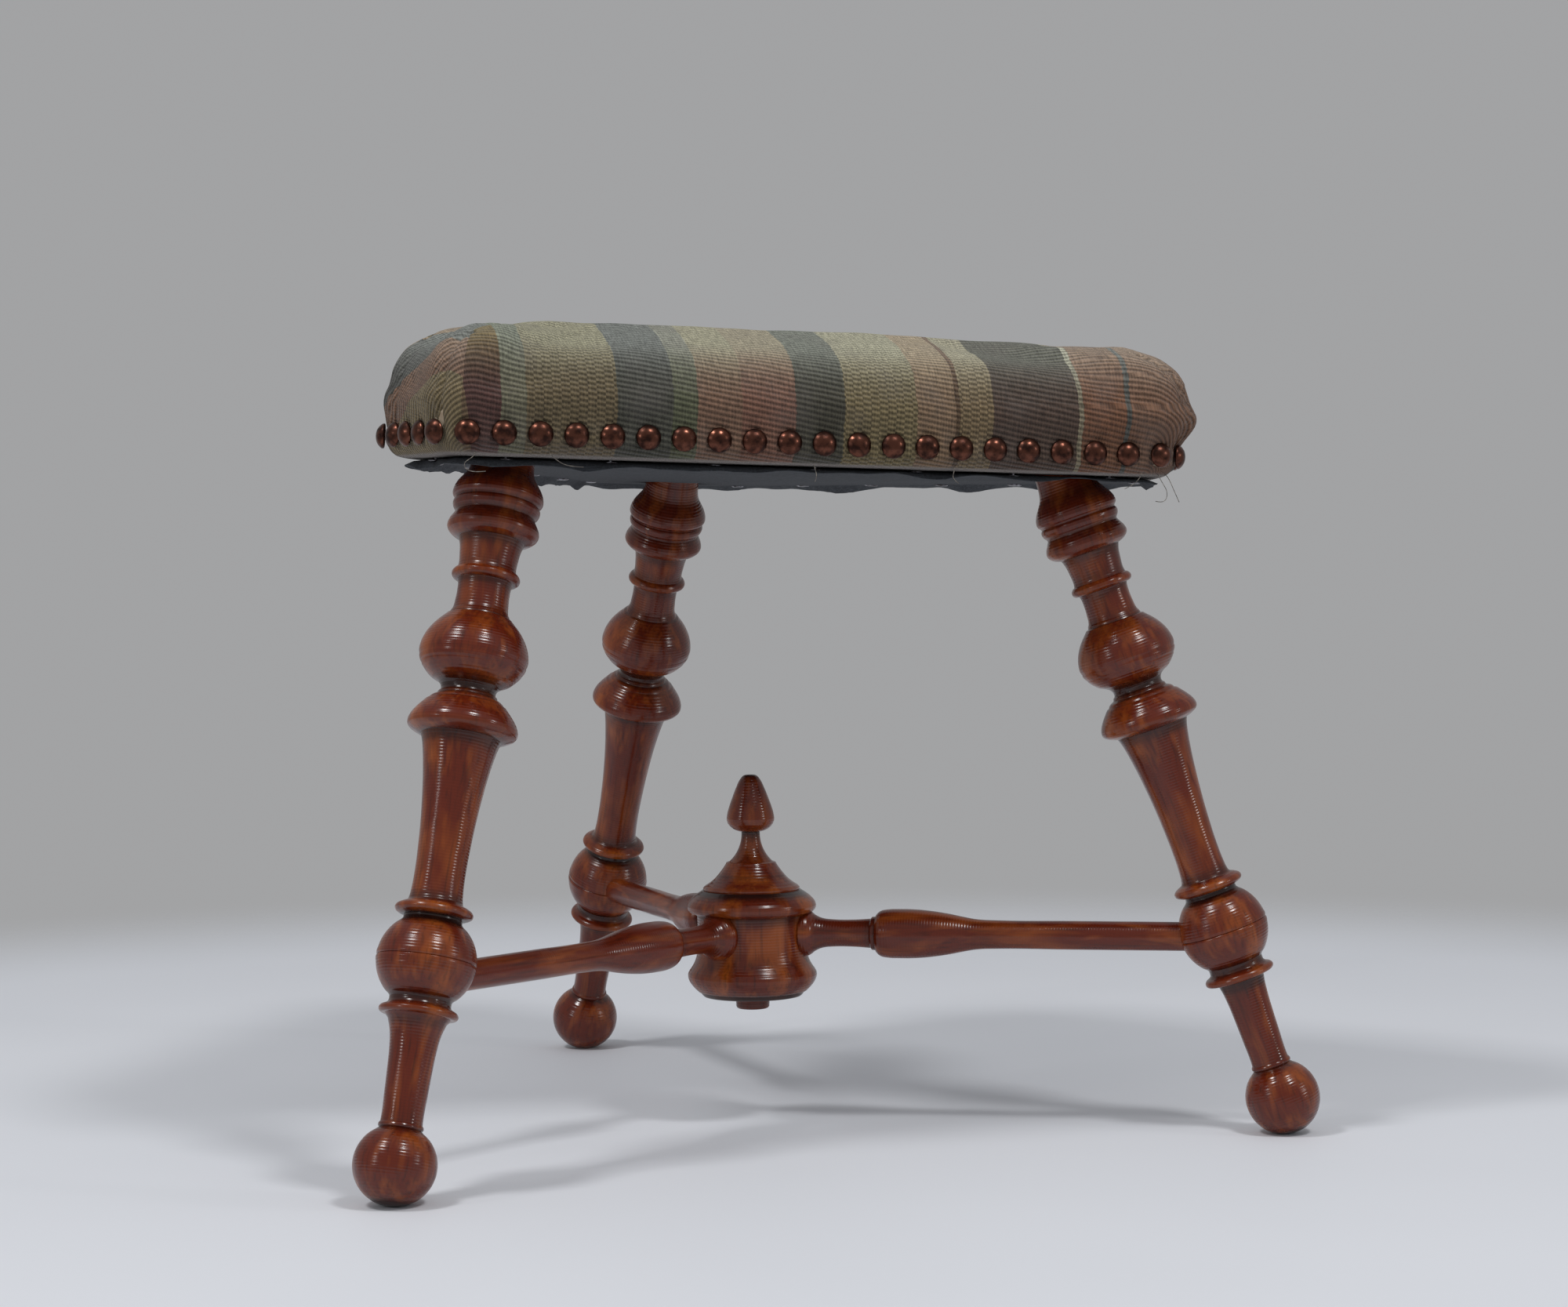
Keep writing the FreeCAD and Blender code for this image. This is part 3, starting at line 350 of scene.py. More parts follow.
def leg_profile(leg):
    """The half profile of a leg, from the bottom of its foot to the end of its tenon."""
    centre = BALL_STATIONS[leg]
    disc = DISC_STATIONS[leg]
    shoulder = SHOULDER_STATIONS[leg]
    rows = [(0.0, -17.05, "corner")]
    rows += ball(0.0, 17.05, -16.4, 14.4, 9)
    rows += [
        (8.7, 14.8, "corner"), (9.2, 15.5), (9.1, 16.6), (8.6, 17.2, "corner"),
        (8.5, 20.0), (8.8, 30.0), (9.1, 39.0), (9.6, 48.0),
        (10.5, 55.0), (12.0, 60.0, "corner"),
    ]
    beside = [
        (13.6, -23.6, "corner"), (15.6, -23.2), (16.3, -22.0),
        (15.7, -20.6), (13.8, -19.6, "corner"), (12.9, -18.6),
        (12.7, -16.6, "corner"),
    ]
    rows += [(radius, centre + rise, *corner) for radius, rise, *corner in beside]
    rows += ball(centre, 20.5, centre - 15.9, centre - 0.4, 6)
    rows += [(20.1, centre, "corner")]
    rows += ball(centre, 20.5, centre + 0.4, centre + 16.2, 6)
    beside = [
        (12.1, 16.9, "corner"), (12.0, 18.4, "corner"), (14.2, 19.0),
        (16.0, 20.4), (15.8, 22.0), (13.6, 23.6, "corner"),
        (11.6, 24.6), (11.0, 26.4),
    ]
    rows += [(radius, centre + rise, *corner) for radius, rise, *corner in beside]
    start = centre + 29.0
    for share, radius in ((0.0, 10.7), (0.2, 10.4), (0.45, 10.7), (0.72, 11.4), (1.0, 12.6)):
        rows.append((radius, start + (disc - 26.0 - start) * share))
    above = [
        (13.6, -18.0), (14.9, -10.0), (16.0, -5.2),
        (16.8, -3.0, "corner"), (20.4, -1.6), (22.6, 0.0),
        (23.0, 1.6), (22.3, 4.2), (20.6, 7.0), (18.2, 10.0),
        (17.0, 11.4, "corner"), (15.9, 11.9, "corner"), (15.2, 13.0),
        (12.8, 14.4, "corner"), (12.4, 15.6, "corner"), (11.7, 16.2),
        (11.5, 17.8), (12.4, 19.6), (14.2, 21.0, "corner"),
        (16.6, 22.2), (19.0, 24.4), (20.8, 26.6, "corner"),
        (20.9, 27.1, "corner"), (22.0, 28.8), (22.4, 30.0, "corner"),
        (22.3, 30.5, "corner"), (22.8, 32.4), (22.6, 35.0),
        (21.6, 38.6), (19.9, 42.0), (17.6, 45.2),
        (15.0, 48.0), (13.9, 49.2, "corner"), (12.8, 49.6, "corner"),
        (12.4, 50.8, "corner"), (11.7, 52.2), (11.2, 56.0),
        (11.0, 60.6), (11.3, 64.4), (11.6, 65.2, "corner"),
        (13.6, 65.8), (14.4, 67.4), (13.6, 69.2),
        (12.4, 70.0, "corner"), (12.1, 71.8), (12.4, 76.4),
        (13.0, 80.6), (13.9, 83.4, "corner"), (17.4, 85.0),
        (19.3, 87.4), (19.1, 89.8), (17.8, 92.4),
        (16.8, 94.2, "corner"), (16.9, 94.8, "corner"), (18.2, 96.8),
        (18.4, 98.8), (17.7, 99.9, "corner"), (18.0, 100.6, "corner"),
        (19.0, 101.8), (19.2, 103.2), (18.2, 106.6),
        (16.2, 109.8), (14.3, 112.8), (13.4, 116.0),
        (13.0, 119.6),
    ]
    stretch = (shoulder - disc) / 121.2
    for radius, rise, *corner in above:
        rows.append((radius, disc + rise * (stretch if rise > 0 else 1), *corner))
    rows = [(radius * GIRTHS[leg], station, *corner) for radius, station, *corner in rows]
    return rows + [
        (12.7, shoulder, "corner"), (12.7, shoulder + 19.4, "corner"),
        (0.0, shoulder + 19.4, "corner"),
    ]


def leg_ends(leg):
    """The middle of a leg's foot ball, and the point of its axis at the height of its bulb."""
    foot = polar(*FEET[leg], FOOT_HEIGHT) + HUB_AXIS
    return foot, polar(BULB_CIRCLE, BULBS[leg], BULB_HEIGHT) + HUB_AXIS


leg_axes = {}
shoulders = {}
for leg in FEET:
    foot, bulb = leg_ends(leg)
    leg_axes[leg] = (bulb - foot).normalized()
    shoulders[leg] = foot + leg_axes[leg] * SHOULDER_STATIONS[leg] * MM
    upright = Vector((0, 0, 1)).rotation_difference(leg_axes[leg]).to_matrix().to_4x4()
    place = Matrix.Translation(foot) @ upright
    piece = turned("turned_leg_" + leg, leg_profile(leg))
    fit_turning(piece, "varnished_leg_" + leg, place, "leg_" + leg)
    bpy.ops.object.mode_set(mode="EDIT")
    bpy.ops.mesh.select_all(action="SELECT")
    bpy.ops.mesh.bisect(
        plane_co=(0, 0, 0), plane_no=(0, 0, 1), clear_inner=True, use_fill=True
    )
    bpy.ops.object.mode_set(mode="OBJECT")

# Stretchers
# Three turned rails run from the lower balls of the legs to the hub, each with a spread collar and
# a slim neck at the hub, a long bobbin and a plain rod let into the leg.
RAIL_HEIGHT = 0.0895
RAIL_PROFILE = [
    (0.0, 9.0, "corner"), (5.5, 9.0, "corner"), (5.5, 22.6, "corner"), (9.6, 22.6, "corner"),
    (10.8, 23.6), (10.9, 25.6), (10.3, 27.6), (8.4, 30.2),
    (7.0, 33.4), (6.4, 38.0), (6.3, 48.0), (6.8, 56.4, "corner"),
    (7.7, 57.2, "corner"), (7.8, 58.8, "corner"), (9.0, 59.3, "corner"), (10.4, 61.0),
    (11.2, 64.6), (11.4, 70.0), (11.3, 77.0), (10.6, 85.0),
    (9.4, 93.0), (8.0, 100.0), (7.0, 106.0), (6.6, 114.0),
    (6.6, 150.0),
]
for leg in FEET:
    foot, bulb = leg_ends(leg)
    joint = foot + (bulb - foot) * (RAIL_HEIGHT - FOOT_HEIGHT) / (BULB_HEIGHT - FOOT_HEIGHT)
    outward = Vector((joint.x - HUB_AXIS.x, joint.y - HUB_AXIS.y, 0))
    socket_floor = outward.length / MM - 20.5 + 12.0
    level = Vector((0, 0, 1)).rotation_difference(outward).to_matrix().to_4x4()
    place = Matrix.Translation(HUB_AXIS + Vector((0, 0, RAIL_HEIGHT))) @ level
    rows = RAIL_PROFILE + [(6.6, socket_floor, "corner"), (0.0, socket_floor, "corner")]
    piece = turned("turned_rail_" + leg, rows, 48)
    fit_turning(piece, "varnished_rail_" + leg, place, "stretcher_" + leg)

# Hub
# A turned drum between two rounded rings, bored on three sides for the stretchers, which stand in
# shallow seats in its waist.
hub_place = Matrix.Translation(HUB_AXIS)
hub = turned("turned_hub", [
    (0.0, 60.0, "corner"), (22.8, 60.0, "corner"), (23.6, 60.8), (24.2, 62.0, "corner"),
    (25.4, 62.3, "corner"), (28.2, 65.2), (29.8, 68.0), (30.1, 70.4),
    (29.3, 72.2, "corner"), (28.3, 73.6), (26.8, 76.4), (25.8, 80.0),
    (25.4, 86.0), (25.4, 93.0), (25.6, 97.8, "corner"), (27.4, 98.9, "corner"),
    (28.8, 99.4, "corner"), (30.0, 101.0), (29.8, 103.4),
    (28.0, 105.8), (25.4, 107.9), (23.6, 109.0, "corner"),
    (23.2, 109.4, "corner"), (0.0, 109.4, "corner"),
])
fit_turning(hub, "varnished_hub", hub_place, "hub_block")

# Finial
# An acorn on a slim waist over a stepped cone, turned in one piece with the peg that holds it in
# the top of the hub.
finial = turned("acorn_finial", [
    (0.0, 96.4, "corner"), (4.5, 96.4, "corner"), (4.5, 109.4, "corner"),
    (22.4, 109.4, "corner"), (22.6, 110.6, "corner"), (21.6, 111.6, "corner"),
    (20.0, 112.6), (17.4, 114.6), (15.2, 117.0),
    (13.2, 119.6), (12.0, 121.4, "corner"), (11.5, 122.4, "corner"),
    (10.0, 122.9, "corner"), (8.4, 124.6), (6.6, 127.2), (5.2, 130.4),
    (4.4, 134.0), (4.3, 136.6, "corner"), (6.6, 137.2), (9.4, 139.0),
    (11.0, 141.8), (10.9, 144.6), (9.9, 148.4),
    (8.4, 152.6), (6.6, 157.2), (4.6, 161.2), (2.8, 163.0),
    (0.0, 163.3, "corner"),
])
fit_turning(finial, "varnished_finial", hub_place, "finial")

# Button
# A small turned button with a peg, which closes the bottom of the hub.
button = turned("turned_button", [
    (0.0, 53.8, "corner"), (5.4, 53.8), (7.4, 54.4), (7.8, 56.0),
    (7.9, 57.4), (8.8, 58.9), (10.2, 60.0, "corner"), (4.0, 60.0, "corner"),
    (4.0, 70.0, "corner"), (0.0, 70.0, "corner"),
])
fit_turning(button, "varnished_button", hub_place, "hub_button")
# Seat board
# A six-sided board of sawn softwood with rounded corners and a bevelled lower edge. The three leg
# tenons stand in its bores, each spread by a wedge, and its bevel shows below the cover.
seat_normal = (shoulders["front_right"] - shoulders["front_left"]).cross(
    shoulders["back"] - shoulders["front_left"]
).normalized()
seat_height = shoulders["back"].z - (
    (HUB_AXIS.x - shoulders["back"].x) * seat_normal.x
    + (HUB_AXIS.y - shoulders["back"].y) * seat_normal.y
) / seat_normal.z
SEAT_PLACE = (
    Matrix.Translation(Vector((HUB_AXIS.x, HUB_AXIS.y, seat_height)))
    @ Vector((0, 0, 1)).rotation_difference(seat_normal).to_matrix().to_4x4()
)


def sawn_wood(name, grain):
    """Plain softwood, greyed with age, whose grain runs along the axis with the small scale."""
    material, tree, shader = new_material(name)
    position = add_node(tree, "TexCoord").outputs["Object"]
    rings = noisy(tree, stretched(tree, position, grain), 260.0, 5.0)
    stains = noisy(tree, position, 28.0, 3.0)
    figure = add_node(tree, "ValToRGB", {"Fac": rings})
    first, last = figure.color_ramp.elements
    first.position, first.color = 0.35, (0.30, 0.21, 0.13, 1)
    last.position, last.color = 0.66, (0.60, 0.49, 0.36, 1)
    stained = ranged(tree, stains, 0.45, 0.75, 0.0, 0.55)
    aged = blended(tree, stained, figure.outputs[0], (0.20, 0.15, 0.11, 1))
    rough = ranged(tree, rings, 0.0, 1.0, 0.60, 0.85)
    give(tree, shader, BaseColor=aged, Roughness=rough, Normal=bumped(tree, rings, 0.4, 0.0004))
    return material


def refinish(node, material):
    for slot in bpy.data.objects[node].material_slots:
        slot.material = material


refinish("seat_board", sawn_wood("sawn_board", (0.08, 1, 1)))
wedge_wood = sawn_wood("split_wedge", (1, 1, 0.08))
for leg in FEET:
    refinish("tenon_wedge_" + leg, wedge_wood)

# Cover
# A woven cloth with bands of ribbed and basket weave, pulled over the stuffed pad, nailed along the
# edge of the board and turned under it. It is folded at the corners and sags at the right end.
BOARD_CORNERS = [
    (-163.4, -118.4), (166.5, -118.4), (185.0, -49.0), (37.0, 193.2), (-37.0, 193.2),
    (-176.5, -49.0),
]
LEFT_CORNER_OUTWARD = Vector((-0.983, -0.186))
CORE_INSET = 18.0
WRAP = [
    (42.0, 55.8), (26.0, 52.4), (13.2, 46.6), (5.4, 39.0), (-1.8, 28.0), (-1.8, 4.0),
    (4.0, -1.2), (30.0, -1.2),
]
NAIL_LINE = 8.5


def inset_corners(inset):
    """The corners of the board's outline, in mm, after every side is moved inwards."""
    corners = [Vector(corner) for corner in BOARD_CORNERS]
    lines = []
    for here, after in zip(corners, corners[1:] + corners[:1]):
        along = (after - here).normalized()
        lines.append((here + Vector((-along.y, along.x)) * inset, along))
    moved = []
    for (point, along), (next_point, next_along) in zip(lines[-1:] + lines[:-1], lines):
        gap = next_point - point
        crossing = along.x * next_along.y - along.y * next_along.x
        share = (gap.x * next_along.y - gap.y * next_along.x) / crossing
        moved.append(point + along * share)
    return moved


CORE = inset_corners(CORE_INSET)


def edge_place(x, y):
    """A point's inset from the board's outline in mm, its nearest point on the core, the outward
    direction there and the number of its side."""
    point = Vector((x, y))
    nearest_gap = None
    inside = True
    for number, (here, after) in enumerate(zip(CORE, CORE[1:] + CORE[:1])):
        side = after - here
        square = Vector((side.y, -side.x)).normalized()
        inside = inside and (point - here).dot(square) <= 0
        share = min(1.0, max(0.0, (point - here).dot(side) / side.length_squared))
        spot = here + side * share
        gap = (point - spot).length
        if nearest_gap is None or gap < nearest_gap:
            nearest_gap, core_point, outward, nearest_side = gap, spot, square, number
    if inside:
        return CORE_INSET + nearest_gap, core_point, outward, nearest_side
    if nearest_gap > 0.01:
        outward = (point - core_point) / nearest_gap
    return CORE_INSET - nearest_gap, core_point, outward, nearest_side


def wrapped_length(inset, height):
    """How far the cloth runs down over the edge of the pad, in mm, to a point of its section."""
    point = Vector((inset, height))
    travelled = 0.0
    shortest = None
    for here, after in zip(WRAP, WRAP[1:]):
        step = Vector(after) - Vector(here)
        share = min(1.0, max(0.0, (point - Vector(here)).dot(step) / step.length_squared))
        gap = (Vector(here) + step * share - point).length
        if shortest is None or gap < shortest:
            shortest, length = gap, travelled + step.length * share
        travelled += step.length
    return length


def eased(value, low, high):
    share = min(1.0, max(0.0, (value - low) / (high - low)))
    return share * share * (3 - 2 * share)


def merged_copy(node, name):
    """A new object with a copy of a CAD node's mesh, its loose triangles merged."""
    piece = bpy.data.objects.new(name, bpy.data.objects[node].data.copy())
    scene.collection.objects.link(piece)
    pick([piece])
    bpy.ops.object.mode_set(mode="EDIT")
    bpy.ops.mesh.select_all(action="SELECT")
    bpy.ops.mesh.remove_doubles(threshold=0.00002)
    bpy.ops.object.mode_set(mode="OBJECT")
    return piece


def finish_modifier(piece, kind, **settings):
    bpy.context.view_layer.objects.active = piece
    modifier = piece.modifiers.new(kind.lower(), kind)
    for setting, value in settings.items():
        setattr(modifier, setting, value)
    bpy.ops.object.modifier_apply(modifier=modifier.name)


def fastener_places(node, shank):
    """(seat of the head, direction outwards) of each nail or tack of a CAD node, in metres."""
    copy = merged_copy(node, "reading_" + node)
    links = {vertex.index: set() for vertex in copy.data.vertices}
    for edge in copy.data.edges:
        first, second = edge.vertices
        links[first].add(second)
        links[second].add(first)
    places = []
    while links:
        reached = set()
        waiting = [next(iter(links))]
        while waiting:
            index = waiting.pop()
            if index in links:
                reached.add(index)
                waiting.extend(links.pop(index))
        points = [copy.data.vertices[index].co.copy() for index in sorted(reached)]
        middle = sum(points, Vector()) / len(points)
        points.sort(key=lambda point: -(point - middle).length)
        tip = sum(points[:4], Vector()) / 4
        points.sort(key=lambda point: -(point - tip).length)
        crown = sum(points[:8], Vector()) / 8
        outward = (crown - tip).normalized()
        places.append((tip + outward * shank * MM, outward))
    bpy.data.objects.remove(copy)
    return places


NAIL_SIDES = ["front", "right_corner", "right_side", "back", "left_side", "left_corner"]
NAIL_SHANK = 13.0
nail_places = {side: fastener_places("nails_" + side, NAIL_SHANK) for side in NAIL_SIDES}
to_seat = SEAT_PLACE.inverted()
nail_points = [to_seat @ seat for side in NAIL_SIDES for seat, outward in nail_places[side]]
nail_tree = KDTree(len(nail_points))
for index, point in enumerate(nail_points):
    nail_tree.insert(point, index)
nail_tree.balance()

VOXEL = 0.004
cover = merged_copy("seat_cover", "striped_cover")
cover.data.transform(to_seat)
bpy.ops.object.mode_set(mode="EDIT")
bpy.ops.mesh.select_all(action="SELECT")
bpy.ops.mesh.convex_hull()
bpy.ops.object.mode_set(mode="OBJECT")
finish_modifier(cover, "REMESH", mode="VOXEL", voxel_size=VOXEL)
START_SHRINK = 1.6
END_SAG = 8.0
HELD_BELOW = 22.0
held = cover.vertex_groups.new(name="held")
normals = [vertex.normal.copy() for vertex in cover.data.vertices]
for vertex, normal in zip(cover.data.vertices, normals):
    x, y, z = vertex.co / MM
    inset, core_point, outward, side = edge_place(x, y)
    free = eased(z, 22.0, 32.0)
    vertex.co -= normal * START_SHRINK * MM * free
    sag = eased(x, 95.0, 180.0) * (1.0 - eased(inset, 6.0, 30.0)) * eased(z, 9.0, 26.0)
    vertex.co += Vector((outward.x, outward.y, 0)) * END_SAG * MM * sag
    if z < HELD_BELOW:
        held.add([vertex.index], 1.0, "REPLACE")
start = [vertex.co.copy() for vertex in cover.data.vertices]
PRESSED_FRAMES = 20
MOST_SWELL = 0.0055
EDGE_SWELL = 0.0016
cloth = cover.modifiers.new("cloth", "CLOTH")
cloth.settings.quality = 6
cloth.settings.use_pressure = True
cloth.settings.uniform_pressure_force = 4.0
cloth.settings.vertex_group_mass = "held"
cloth.settings.effector_weights.gravity = 0
cloth.settings.bending_stiffness = 0.6
cloth.collision_settings.use_collision = False
for number in range(1, PRESSED_FRAMES + 1):
    scene.frame_set(number)
pressed = cover.evaluated_get(bpy.context.evaluated_depsgraph_get())
swollen = [vertex.co.copy() for vertex in pressed.data.vertices]
cover.modifiers.clear()
scene.frame_set(1)
for vertex, first, last in zip(cover.data.vertices, start, swollen):
    moved = last - first
    if moved.length > MOST_SWELL:
        moved *= MOST_SWELL / moved.length
    x, y, z = first / MM
    inset, core_point, outward, side = edge_place(x, y)
    drawn_in = min(0.0, moved.xy.dot(outward)) * (1.0 - eased(inset, 6.0, 24.0))
    moved -= Vector((outward.x, outward.y, 0)) * drawn_in
    swell = EDGE_SWELL * eased(z, 12.0, 24.0) * (1.0 - eased(inset, 4.0, 20.0))
    vertex.co = first + moved + Vector((outward.x, outward.y, 0)) * swell
SHOULDER_FULLNESS = 4.2
normals = [vertex.normal.copy() for vertex in cover.data.vertices]
for vertex, normal in zip(cover.data.vertices, normals):
    x, y, z = vertex.co / MM
    inset, core_point, outward, side = edge_place(x, y)
    length = wrapped_length(inset, z) if inset < 42.0 else 42.0 - inset
    full = eased(length, -6.0, 22.0) * (1.0 - eased(length, 32.0, 56.0))
    at_ends = 1.0 + 0.7 * max(eased(x, 90.0, 160.0), eased(-x, 90.0, 150.0))
    vertex.co += normal * SHOULDER_FULLNESS * full * at_ends * MM
finish_modifier(cover, "SUBSURF", levels=1, render_levels=1)

NAIL_PULL = 0.9
TUCK_PULL = 0.55
rumple = random.Random(11)
folds = []
for corner in (0, 1, 2, 5):
    for number in range(3):
        folds.append((
            CORE[corner], rumple.uniform(-0.5, 0.5) + (number - 1) * 0.35,
            rumple.uniform(0.8, 1.8), rumple.uniform(18.0, 34.0),
        ))
lengths = []
flats = []
outwards = []
normals = [vertex.normal.copy() for vertex in cover.data.vertices]
for vertex, normal in zip(cover.data.vertices, normals):
    x, y, z = vertex.co / MM
    inset, core_point, outward, side = edge_place(x, y)
    length = wrapped_length(inset, z)
    flat = Vector((x, y)) if inset > 42.0 else core_point + outward * (length - 42.0 + CORE_INSET)
    lengths.append(length if inset <= 42.0 else 42.0 - inset)
    flats.append(flat)
    outwards.append(outward)
    spot, index, gap = nail_tree.find(vertex.co)
    pull = 0.0
    if gap < 0.022 and z > 2.0:
        rise = z - NAIL_LINE
        across = math.sqrt(max(0.0, gap * gap / MM / MM - rise * rise))
        pull += NAIL_PULL * (1.0 - eased(gap / MM, 3.0, 8.0))
        if rise > 0:
            pull += TUCK_PULL * (1.0 - eased(across, 0.0, 5.5)) * (1.0 - eased(rise, 4.0, 20.0))
    for corner, turn, depth, reach in folds:
        away = Vector((x, y)) - corner
        if away.length < 40.0 and 10.0 < length < 72.0:
            middle = sum(CORE, Vector((0, 0))) / 6
            course = (corner - middle).normalized()
            angle = math.atan2(
                course.x * away.y - course.y * away.x, course.dot(away)
            ) - turn * 0.6
            line = abs(angle) * away.length
            pull += depth * math.exp(-(line / 1.6) ** 2) * eased(length, 10.0, 24.0)
    wave = noise.noise(Vector((flat.x * 0.021, flat.y * 0.021, 3.1)))
    ripple = noise.noise(Vector((flat.x * 0.06, flat.y * 0.06, 9.7)))
    if inset > -4.0:
        pull -= (1.1 * wave + 0.5 * ripple) * eased(z, 12.0, 26.0)
    vertex.co -= normal * pull * MM

mesh = cover.data
low = mesh.attributes.new("low", "FLOAT", "POINT")
under = mesh.attributes.new("under", "FLOAT", "POINT")
slanted = mesh.attributes.new("slanted", "FLOAT", "POINT")
for vertex, length, outward in zip(mesh.vertices, lengths, outwards):
    low.data[vertex.index].value = eased(length, 20.0, 58.0)
    under.data[vertex.index].value = eased(length, 84.0, 86.0)
    facing = outward.dot(LEFT_CORNER_OUTWARD)
    ahead = 1.0 - eased(vertex.co.y / MM, -56.0, -44.0)
    slanted.data[vertex.index].value = ahead * eased(facing, 0.45, 0.65) * eased(length, 9.0, 17.0)
laid = mesh.uv_layers.new(name="laid_flat")
for face in mesh.polygons:
    for loop in face.loop_indices:
        laid.data[loop].uv = flats[mesh.loops[loop].vertex_index] * MM

HEM_WIDTH = 19.0
trimmed = bmesh.new()
trimmed.from_mesh(mesh)
loose = []
for face in trimmed.faces:
    x, y, z = face.calc_center_median() / MM
    frayed = 2.2 * noise.noise(Vector((x * 0.09, y * 0.09, 0.0)))
    if z < 0.6 and edge_place(x, y)[0] > HEM_WIDTH + frayed:
        loose.append(face)
bmesh.ops.delete(trimmed, geom=loose, context="FACES")
whole_mesh = mesh.copy()
trimmed.to_mesh(mesh)
trimmed.free()


def moved_copy(mesh, name, inwards):
    """A new object over a mesh that is moved inwards along its normals, in mm."""
    piece = bpy.data.objects.new(name, mesh.copy())
    scene.collection.objects.link(piece)
    inner_normals = [vertex.normal.copy() for vertex in piece.data.vertices]
    for vertex, normal in zip(piece.data.vertices, inner_normals):
        vertex.co -= normal * inwards * MM
    pick([piece])
    return piece


COVER_THICKNESS = 1.2
LINING_THICKNESS = 0.5
lining = moved_copy(mesh, "calico_under_cover", COVER_THICKNESS + 0.15)
pad = moved_copy(whole_mesh, "hair_pad", COVER_THICKNESS + LINING_THICKNESS + 0.4)
finish_modifier(cover, "SOLIDIFY", thickness=COVER_THICKNESS * MM, offset=-1.0)

STRIPES = [
    (-320.0, (0.365, 0.349, 0.244), (0.254, 0.193, 0.104), 0.0),
    (-274.0, (0.346, 0.262, 0.193), (0.244, 0.138, 0.088), 0.0),
    (-250.0, (0.211, 0.223, 0.202), (0.103, 0.101, 0.088), 0.0),
    (-215.0, (0.346, 0.272, 0.193), (0.207, 0.138, 0.080), 0.0),
    (-162.0, (0.230, 0.184, 0.092), (0.122, 0.060, 0.050), 0.0),
    (-142.0, (0.240, 0.262, 0.202), (0.207, 0.193, 0.128), 0.0),
    (-130.0, (0.326, 0.310, 0.210), (0.188, 0.143, 0.080), 1.0),
    (-91.4, (0.192, 0.204, 0.185), (0.094, 0.092, 0.072), 0.0),
    (-67.5, (0.288, 0.291, 0.235), (0.141, 0.147, 0.088), 0.0),
    (-55.4, (0.380, 0.360, 0.250), (0.250, 0.145, 0.095), 0.0),
    (-36.0, (0.365, 0.325, 0.230), (0.250, 0.125, 0.085), 0.0),
    (-13.7, (0.211, 0.223, 0.185), (0.085, 0.078, 0.056), 0.0),
    (10.2, (0.403, 0.388, 0.277), (0.235, 0.184, 0.096), 1.0),
    (41.2, (0.192, 0.136, 0.101), (0.113, 0.064, 0.040), 0.0),
    (42.2, (0.403, 0.330, 0.227), (0.282, 0.184, 0.112), 0.0),
    (50.4, (0.230, 0.165, 0.118), (0.132, 0.083, 0.048), 0.0),
    (51.2, (0.403, 0.330, 0.227), (0.282, 0.184, 0.112), 0.0),
    (59.8, (0.230, 0.165, 0.118), (0.132, 0.083, 0.048), 0.0),
    (61.0, (0.403, 0.378, 0.269), (0.244, 0.175, 0.096), 1.0),
    (77.2, (0.154, 0.155, 0.126), (0.113, 0.074, 0.056), 0.0),
    (115.5, (0.442, 0.436, 0.336), (0.282, 0.239, 0.160), 0.0),
    (116.2, (0.192, 0.175, 0.143), (0.113, 0.083, 0.064), 0.0),
    (116.8, (0.442, 0.436, 0.336), (0.282, 0.239, 0.160), 0.0),
    (117.6, (0.326, 0.242, 0.176), (0.226, 0.106, 0.060), 0.0),
    (137.7, (0.211, 0.223, 0.202), (0.113, 0.110, 0.096), 0.0),
    (141.4, (0.346, 0.262, 0.193), (0.235, 0.124, 0.076), 0.0),
    (205.0, (0.211, 0.223, 0.202), (0.103, 0.101, 0.088), 0.0),
]
FIRST_STRIPE = -0.320
STRIPES_ACROSS = 0.560

weave, given, result = new_group(
    "banded_weave",
    {"Vector": "Vector", "Low": "Float", "Under": "Float", "Slanted": "Float"},
    {"Color": "Color", "Roughness": "Float", "Normal": "Vector"},
)
along_u, along_v = add_node(weave, "SeparateXYZ", {0: given["Vector"]}).outputs[:2]


def sums(first, factor, add):
    """factor times a value, plus add, which may be a value too."""
    return maths(weave, "MULTIPLY_ADD", first, factor, add)


RIB_PITCH = 0.0024
RIB_SLOPE = 0.18
WARP_PITCH = 0.0013
BASKET_CELL = 0.0038
SLANT = 0.79
SLANT_SHIFT = -0.0131
MEAN_PULL = 0.0022
pulled = noisy(weave, given["Vector"], 700.0, 1.0)
drawn = noisy(weave, given["Vector"], 26.0, 1.0)
thread_u = sums(drawn, 0.0018, sums(pulled, 0.0014, along_u))
slant_u = sums(sums(along_v, SLANT, thread_u), 1.0, SLANT_SHIFT)
turned_side = maths(weave, "GREATER_THAN", given["Slanted"], 0.5)
cloth_u = add_node(weave, "Mix", {0: turned_side, 2: thread_u, 3: slant_u}).outputs[0]
on_ramp = sums(cloth_u, 1.0 / STRIPES_ACROSS, (-FIRST_STRIPE - MEAN_PULL) / STRIPES_ACROSS)
ramps = []
for colour_index in (1, 2):
    ramp = add_node(weave, "ValToRGB", {"Fac": on_ramp})
    ramp.color_ramp.interpolation = "CONSTANT"
    elements = ramp.color_ramp.elements
    while len(elements) < len(STRIPES):
        elements.new(1.0)
    for element, stripe in zip(elements, STRIPES):
        element.position = (stripe[0] * MM - FIRST_STRIPE) / STRIPES_ACROSS
        element.color = (*stripe[colour_index], stripe[3])
    ramps.append(ramp)
